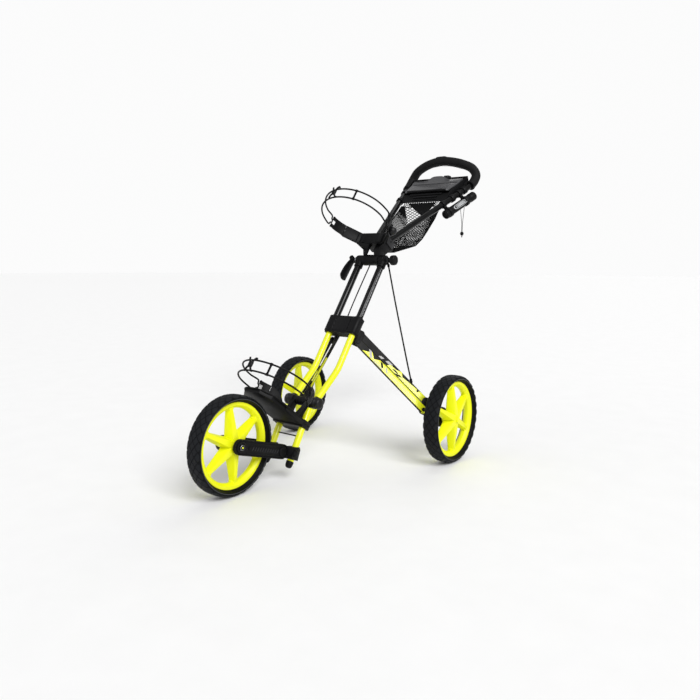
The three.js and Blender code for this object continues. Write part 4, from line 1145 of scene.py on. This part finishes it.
# The lanyard's two ends along the tube, how far the tube's underside, the bead and the loop hang below its
# middle, and half the gap between the runs.
LANYARD = {"from": 400, "to": 420, "top": 20.4, "meet": 62, "drop": 99, "apart": 2.6}


def lanyard_route():
    middle = beside_arm((LANYARD["from"] + LANYARD["to"]) / 2, 1)
    x, y, z = middle.x, middle.y, middle.z - LANYARD["top"] - LANYARD["meet"]
    low = z + LANYARD["meet"] - LANYARD["drop"]

    def run(start_y, side):
        start = beside_arm(start_y, 1) - Vector((0, 0, LANYARD["top"]))
        end = Vector((x, y + side * LANYARD["apart"], z))
        slope = [start.lerp(end, t) for t in (0, 0.12, 0.4, 0.7, 0.9, 1)]
        return [*slope, Vector((end.x, end.y, (z + low) / 2)), Vector((end.x, end.y, low))]

    loop = [Vector((x, y - 3, low - 10)), Vector((x, y, low - 15)), Vector((x, y + 3, low - 10))]
    return run(LANYARD["from"], -1) + loop + run(LANYARD["to"], 1)[::-1]


def make_lanyard():
    points = smooth_path(lanyard_route(), 3)
    cord = piece("lanyard_cord", [sweep(points, circle(1.0, 10))], "handle", "net_cord", "lanyard")
    x, y, z = beside_arm(410, 1)
    level = z - LANYARD["top"] - LANYARD["drop"]
    bead = capped([(-7, 2.6), (-6.6, 4.4), (-4, 6.3), (0, 6.9), (4, 6.3), (6.6, 4.4), (7, 2.6)], 36)
    groove = lathe([(-1, 6.7), (-1, 7.1), (1, 7.1), (1, 6.7)], 36)
    upright = shift(x, y, level) @ turn(-90, "Y")
    holder = piece("lanyard_bead_moulded", [moved(bead, upright), moved(groove, upright)], "handle",
                   "black_plastic", "lanyard_bead")


# ------------------------------------------------------------------ hinge casting and bag cradles
def make_hinge_casting():
    """A block over two necks that stand on the hinge barrel, with side plates and ribs."""
    shapes = [black(block(-45, 45, -27, 34, 60, 99), 2.4)]
    shapes.append(black(x_hull((14, 34), ((-34, 22), (-18, 8), (18, 8), (-28, 62), (20, 62))), 1.4))
    foot = [(x, y, 38) for x in (14, 34) for y in (-31, 19)]
    head = [(x, y, 61) for x in (14, 44) for y in (-27, 24)]
    shapes.append(black(hull(foot + head), 1.2))
    levels = ((10, -21, -15, -33, -18), (34, -31, -26, -38, -8), (62, -29, -24, -46, -2))
    for pair in zip(levels, levels[1:]):
        corners = [(x, y, z) for z, y0, y1, x0, x1 in pair for x in (x0, x1) for y in (y0, y1)]
        shapes.append(black(hull(corners), 1.0))
    half_barrel = [(34.1, 6), (34.1, 19), (33.4, 20.2), (24, 20.6), (23, 19.9)]
    barrel = half_barrel + [(-x, r) for x, r in reversed(half_barrel)]
    shapes.append(black(lathe(barrel, 64)))
    for s in (1, -1):
        plate = x_hull((45, 48.5), ((-20, 64), (24, 64), (28, 72), (28, 93), (-20, 93), (-24, 86)), s)
        shapes.append((plate, "dark_plastic", 1.6))
        shapes += screw(s * 48.4, 2, 84, 3.4, s, "X", 1.6)
    for x in (-30, -15, 0, 15, 30):
        rib = prism([(x - 1.6, 62), (x + 1.6, 62), (x + 1.6, 96), (x - 1.6, 96)], 33, 35.6, "Y")
        shapes.append(black(rib, 0.7))
    piece("hinge_casting_moulded", shapes, "handle", "black_plastic", "hinge_casting", LEANING)


# The two bag hoops: the centre's y, the radius, and the heights of the lower and upper cord.
UPPER_HOOP = {"centre": -172, "radius": 124, "low": 47, "high": 82}
LOWER_HOOP = {"centre": -145, "radius": 117, "low": 60, "high": 95}
UPPER_BEND = 23                             # the angle of the upper band's two bends, in degrees
STRAP_CORD_R = 2.8


def hoop_point(hoop, degrees, reach, z):
    a = math.radians(degrees)
    return (reach * math.sin(a), hoop["centre"] + reach * math.cos(a), z)


def band(hoop, low, high, inner, outer, start, end, steps=36, lip=0.0):
    """A curved wall round part of the hoop, thicker along both edges when it has a lip."""
    if lip:
        section = [(inner, low), (outer + lip, low), (outer + lip, low + 3.5), (outer, low + 5.5),
                   (outer, high - 5.5), (outer + lip, high - 3.5), (outer + lip, high), (inner, high)]
    else:
        section = [(inner, low), (outer, low), (outer, high), (inner, high)]
    angles = [start + (end - start) * i / steps for i in range(steps + 1)]
    return loft([[hoop_point(hoop, a, r, z) for r, z in section] for a in angles])


def strap_route(hoop, lift):
    """The closed route of a strap: once round the front low, a hook, back high, another hook."""
    low, high, radius = hoop["low"], hoop["high"], hoop["radius"]
    count, reach, inset = 12, 9, 12.5
    points = [hoop_point(hoop, lift + (360 - 2 * lift) * i / count, radius, low) for i in range(count + 1)]
    far_x, end_y, _ = points[-1]
    hook = [(far_x, end_y + 2.5, low + 9.5), (far_x, end_y + reach, low + inset),
            (far_x, end_y + reach, high - inset), (far_x, end_y + 2.5, high - 9.5)]
    return points + hook + [(x, y, high) for x, y, _ in reversed(points)] + mirrored(hook[::-1], -1)


def make_strap(prefix, hoop, body, matrix, lift, spacer, buckle):
    """The double cord from hook to hook, its spacer clip, and the buckle at the front; angles in degrees."""
    low, high, radius = hoop["low"], hoop["high"], hoop["radius"]
    route = smooth_path(strap_route(hoop, lift), 6, closed=True)
    shapes = [sweep(route, circle(STRAP_CORD_R, 14), closed=True)]
    x, y, _ = hoop_point(hoop, spacer, radius, 0)
    clip = block(x - 2.2, x + 2.2, y - 3.2, y + 3.2, low - 3, high + 3)
    shapes.append(black(clip, 1.0))
    for z in (low, high):
        loop = capped([(-4.5, 3.4), (-3.5, 4.2), (3.5, 4.2), (4.5, 3.4)], 28)
        shapes.append(black(moved(loop, shift(x, y, z) @ turn(-spacer, "Z"))))
    piece(f"{prefix}_cords", shapes, body, "strap_rubber", prefix, matrix)

    face = -radius - 3.4
    middle = (low + high) / 2
    corners = [(8, face, low + 8), (8, face, high - 8), (5, face - 8.5, low + 9), (5, face - 8.5, high - 9),
               (10.5, face - 3, middle)]
    shapes = [black(hull(corners + mirrored(corners, -1)), 1.2)]
    for s in (1, -1):
        for z0, z1 in ((low + 12, low - 5), (high - 12, high + 5)):
            arm = [(s * 4, face - 4, z0), (s * 9, face - 4.5, (z0 + z1) / 2), (s * 14.5, face - 2.6, z1)]
            shapes.append(sweep(smooth_path(arm, 3), rectangle(6, 5, 1.2), up=(0, 1, 0)))
            hook = [(s * 14.5, face - 3, z1), (s * 15.5, face + 0.4, z1 - (z1 - z0) * 0.05),
                    (s * 15, face - 0.2, z1 - (z1 - z0) * 0.3)]
            shapes.append(tube(hook, 2.0, 12, 2))
    shapes += screw(0, face - 8.2, middle, 3.6, -1, "Y", 1.2)
    place = matrix @ shift(0, hoop["centre"], 0) @ turn(buckle, "Z")
    piece(f"{prefix}_buckle_moulded", shapes, body, "black_plastic", f"{prefix}_buckle", place)


def make_strap_ends(prefix, hoop, body, matrix, start, end):
    """Soft wings at the ends of the cradle, forked where the two cords hook in."""
    low, high, radius = hoop["low"] - 4, hoop["high"] + 4, hoop["radius"]
    middle = (low + high) / 2
    for side, s in SIDES:
        shapes = []
        fork = end - 7
        # heights, how far the faces lie inside and outside the hoop, angles, steps, lip, material, bevel
        parts = [
            (low, high, -2.3, 2.4, start, fork, 20, 1.0, "strap_rubber", 0.7),
            (low, middle - 8.5, -2.3, 2.4, fork, end, 8, 0, "strap_rubber", 0.9),
            (middle + 8.5, high, -2.3, 2.4, fork, end, 8, 0, "strap_rubber", 0.9),
            (low - 0.6, low + 8, -3.2, 3.6, end - 2.6, end, 4, 0, "strap_rubber", 0.8),
            (high - 8, high + 0.6, -3.2, 3.6, end - 2.6, end, 4, 0, "strap_rubber", 0.8),
            # A near-black band for the slot in the wing: painted shade.
            (middle - 7, middle + 7, 2.4, 3.4, start + 5, start + 8.4, 3, 0, "dark_hole", 0.4),
        ]
        for k in range(5):
            rib = start + 11 + k * 1.9
            parts.append((low + 7, high - 7, -3.0, -2.2, rib, rib + 0.8, 2, 0, "strap_rubber", 0.2))
        for z0, z1, inner, outer, a, b, steps, lip, material, bevel in parts:
            wall = band(hoop, z0, z1, radius + inner, radius + outer, s * a, s * b, steps, lip)
            shapes.append((wall, material, bevel))
        piece(f"{prefix}_{side}_soft", shapes, body, "strap_rubber", f"{prefix}_{side}", matrix)


def flat_rail(hoop, level):
    """A thin edge along the outside of the three flat faces of the upper band."""
    bend = hoop["radius"] / math.cos(math.radians(UPPER_BEND))
    section = ((6.0, -1.6), (9.2, -1.6), (9.2, 1.6), (6.0, 1.6))
    corners = ((-51.5, hoop["radius"]), (-UPPER_BEND, bend), (UPPER_BEND, bend), (51.5, hoop["radius"]))
    return loft([[hoop_point(hoop, degrees, reach + out, level + up) for out, up in section]
                 for degrees, reach in corners])


def make_upper_cradle():
    hoop = UPPER_HOOP
    low, high, radius = hoop["low"] - 5, hoop["high"] + 6, hoop["radius"]
    middle = (low + high) / 2
    shapes = [black(from_cad("upper_bag_cradle", LEANING), 1.4)]
    for level in (low + 1.6, high - 1.6):
        shapes.append(black(flat_rail(hoop, level), 0.7))
    gusset = hull([(-64, -58, low), (-64, -52, low), (-6, -44, low), (-6, -38, low),
                   (-34, -30, 26), (-34, -24, 26), (-16, -30, 26), (-16, -24, 26)])
    shapes.append(black(gusset, 1.2))
    for degrees in (-45, -36, -28, 28, 36, 45):
        x, y, _ = hoop_point(hoop, degrees, radius + 5, 0)
        outline = ((y, low + 3), (y, high - 3), (y + 4.5, low + 6), (y + 4.5, high - 9))
        shapes.append(black(x_hull((x - 1.3, x + 1.3), outline), 0.5))
    for s in (1, -1):
        joint = hoop_point(hoop, s * 51, radius + 14, middle)
        angles = (math.pi * k / 16 for k in range(1, 16))
        ball = capped([(-15 * math.cos(a), 16 * math.sin(a)) for a in angles], 40)
        shapes.append((moved(ball, shift(*joint) @ turn(-s * 38, "Z")), "dark_plastic", 0))
        # A near-black band for the opening beside the boss: painted shade.
        opening = band(hoop, middle - 9, middle + 9, radius - 0.3, radius + 0.6, s * 45, s * 47.6, 2)
        shapes.append((opening, "dark_hole", 0.4))
        spot = hoop_point(hoop, s * 47, radius + 6.4, middle)
        boss = capped([(-2, 14), (0.5, 14), (2.5, 12.6), (4.4, 9.5), (5.4, 5), (5.8, 1)], 44)
        shapes.append((moved(boss, shift(*spot) @ turn(90 - s * 47, "Z")), "dark_plastic", 0))
        brace = [(40, -52, low + 2), (46, -48, low + 2), (40, -30, 64), (45, -30, 64), (40, -54, high - 3),
                 (46, -50, high - 3), (41, -29, high - 4), (45, -29, high - 4)]
        shapes.append(black(hull(mirrored(brace, s)), 1.0))
    piece("upper_cradle_moulded", shapes, "handle", "black_plastic", "upper_bag_cradle", LEANING)
    make_strap_ends("upper_strap_end", hoop, "handle", LEANING, 52.6, 80)
    make_strap("upper_strap", hoop, "handle", LEANING, 83.8, 152, -8)


def make_lower_cradle():
    hoop = LOWER_HOOP
    low, high, radius = hoop["low"] - 5, hoop["high"] + 5, hoop["radius"]
    shapes = [black(from_cad("lower_bag_cradle", LOWER), 1.3)]
    for x in (-44, -22, 0, 22, 44):
        end = -205 if abs(x) < 30 else -178
        shapes.append(black(block(x - 2, x + 2, end, -28, 19.6, 22.4), 0.9))
    # Near-black patches on the cradle floor stand for its slots: painted shade in them.
    for y in (-60, -95, -130, -165):
        for x in (-34, 26):
            shapes.append((block(x, x + 8, y, y + 20, 19.4, 20.35), "dark_hole", 0.2))
    left_rim = [(-61, -14, 20), (-57.5, -188, 20), (-30, -220, 20)]
    shapes.append(black(tube(left_rim + mirrored(left_rim[::-1], -1), 2.6, 12, 6)))
    for s in (1, -1):
        side_wall = x_hull((60.2, 62.6), ((-14, 5), (-14, 18), (-120, 9), (-120, 18), (-60, 5)), s)
        shapes.append(black(side_wall, 0.8))
        for y in (8, -8):
            shapes += screw(s * 63, y, 12, 3.8, s, "X", 1.8)
        spot = hoop_point(hoop, s * 42, radius + 6.4, (low + high) / 2)
        boss = capped([(-2, 12), (0.5, 12), (2.3, 10.6), (3.8, 7.5), (4.4, 3), (4.5, 1)], 40)
        shapes.append((moved(boss, shift(*spot) @ turn(90 - s * 42, "Z")), "dark_plastic", 0))
    piece("lower_cradle_moulded", shapes, "front_frame", "black_plastic", "lower_bag_cradle", LOWER)
    make_strap_ends("lower_strap_end", hoop, "front_frame", LOWER, 47.6, 68)
    make_strap("lower_strap", hoop, "front_frame", LOWER, 71, 152, -3)


# ------------------------------------------------------------------ front frame and fork
def make_front_frame():
    for side, s in SIDES:
        beside = shift(s * FRONT_TUBE_X, 0, 0)
        stub = moved(rounded(-106, 72, 11, 0.8, 40), beside @ turn(-90, "Y"))
        piece(f"front_tube_{side}_painted", [stub], "front_frame", "yellow_paint", f"front_tube_{side}",
              FRONT)
        cap = capped([(106.4, 10), (106.6, 11.6), (108, 12.1), (114, 12.1), (115.2, 11.4), (120, 11.3),
                      (124.5, 9.6), (127.2, 6.4), (128, 3)], 44)
        piece(f"tube_end_cap_{side}_moulded", [moved(cap, beside @ turn(90, "Y"))], "front_frame",
              "black_plastic", f"tube_end_cap_{side}", FRONT)
    shapes = [black(from_cad("front_hinge", CART), 1.3)]
    half_sleeve = [(37.3, 6), (37.3, 14), (36, 15.3), (27, 15.3), (26, 14.4)]
    turned = [lathe(half_sleeve + [(-x, r) for x, r in reversed(half_sleeve)], 48)]
    for x in (-18, -6, 6, 18):
        turned.append(lathe([(x - 2, 14), (x - 1.4, 15.4), (x + 1.4, 15.4), (x + 2, 14)], 48))
    shapes += [moved(part, shift(0, *FRONT_HINGE)) for part in turned]
    piece("front_hinge_moulded", shapes, "front_frame", "black_plastic", "front_hinge")
    rod = moved(rounded(-36.5, 36.5, 2.3, 0.4, 24), shift(0, -1.6, -24))
    piece("cross_rod_black", [rod], "front_frame", "black_steel", "cross_rod", FRONT)


FORK_ARM_LENGTH = 186


def slot_outline(y0, y1, radius):
    """A bar with two round ends, in the y-z plane."""
    steps = 14
    points = []
    for end, start in ((y1, -math.pi / 2), (y0, math.pi / 2)):
        for k in range(steps + 1):
            a = start + math.pi * k / steps
            points.append((end + radius * math.cos(a), radius * math.sin(a)))
    return points


def make_fork():
    for side, s in SIDES:
        def out(a, b):
            return (s * a, s * b) if s > 0 else (s * b, s * a)

        outer, inner = (slot_outline(0, FORK_ARM_LENGTH, radius) for radius in (23.3, 19.6))
        shapes = [black(prism(outer, *out(30.2, 39.4), "X"), 1.6)]
        rails = zip(outer, inner)
        rim = loft([[(s * x, *point) for x, point in ((39.0, a), (42.2, a), (42.2, b), (39.0, b))]
                    for a, b in rails], closed=True)
        shapes.append(black(rim, 0.7))
        shapes.append(black(prism(slot_outline(42, 160, 8.2), *out(39.0, 41.6), "X"), 1.0))
        for k in range(11):
            y = 46 + k * 11
            rib = prism([(y, -6), (y + 4, -6), (y + 8, 6), (y + 4, 6)], *out(41.4, 42.6), "X")
            shapes.append((rib, "dark_plastic", 0.5))
        line = [(30, -16.4), (176, -16.4), (176, -13.6), (30, -13.6)]
        shapes.append(black(prism(line, *out(39.2, 41.2), "X"), 0.7))
        disc = capped([(39, 15.5), (42.4, 15.5), (43.6, 14.6), (43.9, 12), (43.2, 11.4)], 48)
        shapes.append(black(moved(disc, mirror(s) @ shift(0, FORK_ARM_LENGTH, 0))))
        hub = capped([(39, 17), (43.5, 17), (45, 16), (45.4, 13.4), (44.4, 12.6)], 48)
        shapes.append(black(moved(hub, mirror(s))))
        piece(f"fork_arm_{side}_moulded", shapes, "front_frame", "black_plastic", f"fork_arm_{side}", FORK)

        shapes = [black(from_cad(f"fork_clamp_{side}", FORK), 1.8)]
        bolt = capped([(60.5, 11.2), (64, 11.2), (65.2, 10.4), (68, 10.2), (69.4, 8.6), (70.2, 5),
                       (70.4, 1)], 44)
        shapes.append(black(moved(bolt, mirror(s) @ shift(0, 219, 1))))
        for k in range(4):
            z = -13 + 8.6 * k
            corners = ((230, z - 1), (230, z + 1), (240, z - 1), (240, z + 1))
            shapes.append((x_hull((60.6, 62.2), corners, s), "dark_plastic", 0.4))
        piece(f"fork_clamp_{side}_moulded", shapes, "front_frame", "black_plastic", f"fork_clamp_{side}",
              FORK)
    shapes = [(rounded(-45, 45, 6, 0.8, 32), "steel", 0)]
    for s in (1, -1):
        nut = capped([(43.2, 9.6), (47.4, 9.6), (48.6, 8.4), (48.6, 5)], 6)
        dot = capped([(48.5, 2.8), (49.2, 2.5), (49.4, 1.2)], 24)
        shapes.append((moved(nut, mirror(s)), "dark_plastic", 0.5))
        shapes.append((moved(dot, mirror(s)), "yellow_plastic", 0))
    piece("front_axle_turned", shapes, "front_frame", "steel", "front_axle", FORK)


# ------------------------------------------------------------------ rear legs
def bar_plate(points, y, lift):
    """A thin painted figure on one face of a bar; points are (x, z)."""
    low, high = (y, y + lift) if y > 0 else (y - lift, y)
    return prism(points, low, high, "Y")


LOWER_FIGURES = (
    ("black_print", [(0, 12), (0, -12), (26, -12), (47, 1), (58, 12)]),
    ("black_print", [(60, 12), (80, -2.2), (99, 12)]),
    ("black_print", [(101, 9.4), (118, -4.4), (126, -1.4), (112, 10.6)]),
    ("grey_print", [(43, 12), (56, 12), (73, -4.6), (66, -9.8)]),
    ("grey_print", [(80, -6), (84, -9), (128, -9), (124, -6)]),
    ("grey_print", [(128, 8.8), (136, 8.8), (150, -5), (142, -5)]),
    ("black_print", [(0, -12), (0, -10.1), (BAR_LENGTH, -10.1), (BAR_LENGTH, -12)]),
)
UPPER_FIGURES = (
    ("black_print", [(0, -12), (0, 12), (190, 12), (176, 4), (150, 2), (138, -12)]),
    ("black_print", [(196, 12), (206, 2), (226, 4), (290, 12), (290, 12)]),
    ("grey_print", [(96, -8), (104, -1), (118, 1), (112, -8)]),
    ("grey_print", [(126, -3), (134, 6), (156, 7), (146, -3)]),
    ("black_print", [(160, -5), (172, 1), (190, -1), (184, -5)]),
    ("black_print", [(178, -9), (196, -1), (210, -2), (192, -10)]),
    ("black_print", [(0, -12), (0, -10.3), (BAR_LENGTH, -10.3), (BAR_LENGTH, -12)]),
)


def saw_edge():
    """Small slanted teeth that fade the dark zone into the yellow along the upper bar."""
    teeth = []
    for k in range(13):
        x = 208 + k * 6.2
        reach = 5.2 - 0.3 * k
        top = 4.5 + 0.55 * k
        teeth.append([(x, top - reach), (x + 2.4, top - reach), (x + 5.6, top + 1.2), (x + 1.6, top + 1.2)])
    return teeth


BAR_HALF = 12.3
BAR_FACE = 4.5


def leg_bar_shapes(split):
    """The bar in two colours: black up to the split, yellow beyond it."""
    far, near = [(split, -BAR_HALF)], [(split, BAR_HALF)]
    for k in range(17):
        a = -math.pi / 2 + math.pi * k / 16
        far.append((BAR_LENGTH + BAR_HALF * math.cos(a), BAR_HALF * math.sin(a)))
        near.append((-BAR_HALF * math.cos(a), -BAR_HALF * math.sin(a)))
    far.append((split, BAR_HALF))
    near.append((split, -BAR_HALF))
    return [(prism(points, -BAR_FACE, BAR_FACE, "Y"), material, 0.9)
            for points, material in ((near, "black_print"), (far, "yellow_paint"))]


def make_legs():
    for side, s in SIDES:
        for level, place in (("lower", -1), ("upper", 1)):
            matrix = LINK[s] @ shift(0, s * place * BAR_LAYER, place * PIVOT_HALF) @ turn(LEG_DROP, "Y")
            shapes = leg_bar_shapes(26 if place < 0 else 132)
            figures = LOWER_FIGURES if place < 0 else UPPER_FIGURES
            for face in (BAR_FACE, -BAR_FACE):
                for order, (material, points) in enumerate(figures):
                    shapes.append((bar_plate(points, face, 0.16 + 0.03 * order), material, 0))
                if place > 0:
                    shapes += [(bar_plate(points, face, 0.2), "black_print", 0) for points in saw_edge()]
                for end in (0, BAR_LENGTH):
                    head = capped([(4.4, 6.8), (5.4, 6.8), (6.0, 5.6)], 28)
                    quarter = 90 if face > 0 else -90
                    shapes.append((moved(head, shift(end, 0, 0) @ turn(quarter, "Z")), "black_steel", 0))
            edge = 12.25 if place > 0 else -12.25
            stop = 196 if place > 0 else BAR_LENGTH
            top = block(2, stop, -3.4, 3.4, min(edge, edge * 1.02), max(edge, edge * 1.02))
            shapes.append((top, "black_print", 0))
            if side == "left" and place > 0:
                for face in (1, -1):
                    bolt = capped([(4.4, 4.2), (6.6, 4.2), (7.4, 3.2)], 28)
                    shapes.append(black(moved(bolt, shift(278, 0, 6) @ turn(90 * face, "Z"))))
            piece(f"{side}_{level}_bar_painted", shapes, f"{side}_{level}_bar", "yellow_paint",
                  f"{side}_{level}_leg_bar", matrix)
        shapes = [black(from_cad(f"{side}_hub_bracket", CART), 1.7)]
        inner, outer = REAR_WHEEL_X - 54, REAR_WHEEL_X - 33
        drum = capped([(inner + 1, 33), (inner + 3, 34.2), (outer - 5, 34.2), (outer - 3.6, 33),
                       (outer - 0.4, 33), (outer + 0.6, 31.4), (outer + 0.6, 26), (outer - 0.8, 25)], 72)
        flip = mirror(s) @ shift(0, 0, AXLE_Z)
        shapes.append(moved(drum, flip))
        shapes += rib_ring(20, 33.6, s * (inner + 4), s * (outer - 5), (0, AXLE_Z), 1.3, 0.4, 10)
        piece(f"{side}_hub_bracket_moulded", shapes, f"{side}_hub", "black_plastic", f"{side}_hub_bracket")
        wheel = REAR_WHEEL_X
        shaft = rounded(inner - 6, wheel + 20, 6, 0.8, 28)
        cap = capped([(wheel + 24.6, 11.5), (wheel + 26.4, 11.5), (wheel + 28.6, 10.4), (wheel + 29.4, 8),
                      (wheel + 28.9, 7.4), (wheel + 28.9, 5), (wheel + 30, 4.4), (wheel + 30.4, 2)], 40)
        shapes = [(moved(shaft, flip), "steel", 0), (moved(cap, flip), "yellow_plastic", 0)]
        piece(f"{side}_axle_turned", shapes, f"{side}_hub", "steel", f"{side}_axle")


# ------------------------------------------------------------------ everything, in order
make_stage()
make_lanyard()
make_wheels()
make_upper_tubes()
make_main_tubes()
make_hinge_bosses()
make_collar()
make_front_knuckles()
make_cables()
make_clamp_lever()
make_brake_knob()
make_handle()
make_console()
make_lid()
make_net()
make_net_panel()
make_umbrella_tube()
make_hinge_casting()
make_upper_cradle()
make_lower_cradle()
make_front_frame()
make_fork()
make_legs()
# The hinge bolt keeps its CAD shape and only gets a better material.
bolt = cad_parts["hinge_bolt"].data
bolt.materials.clear()
bolt.materials.append(MAT["steel"])
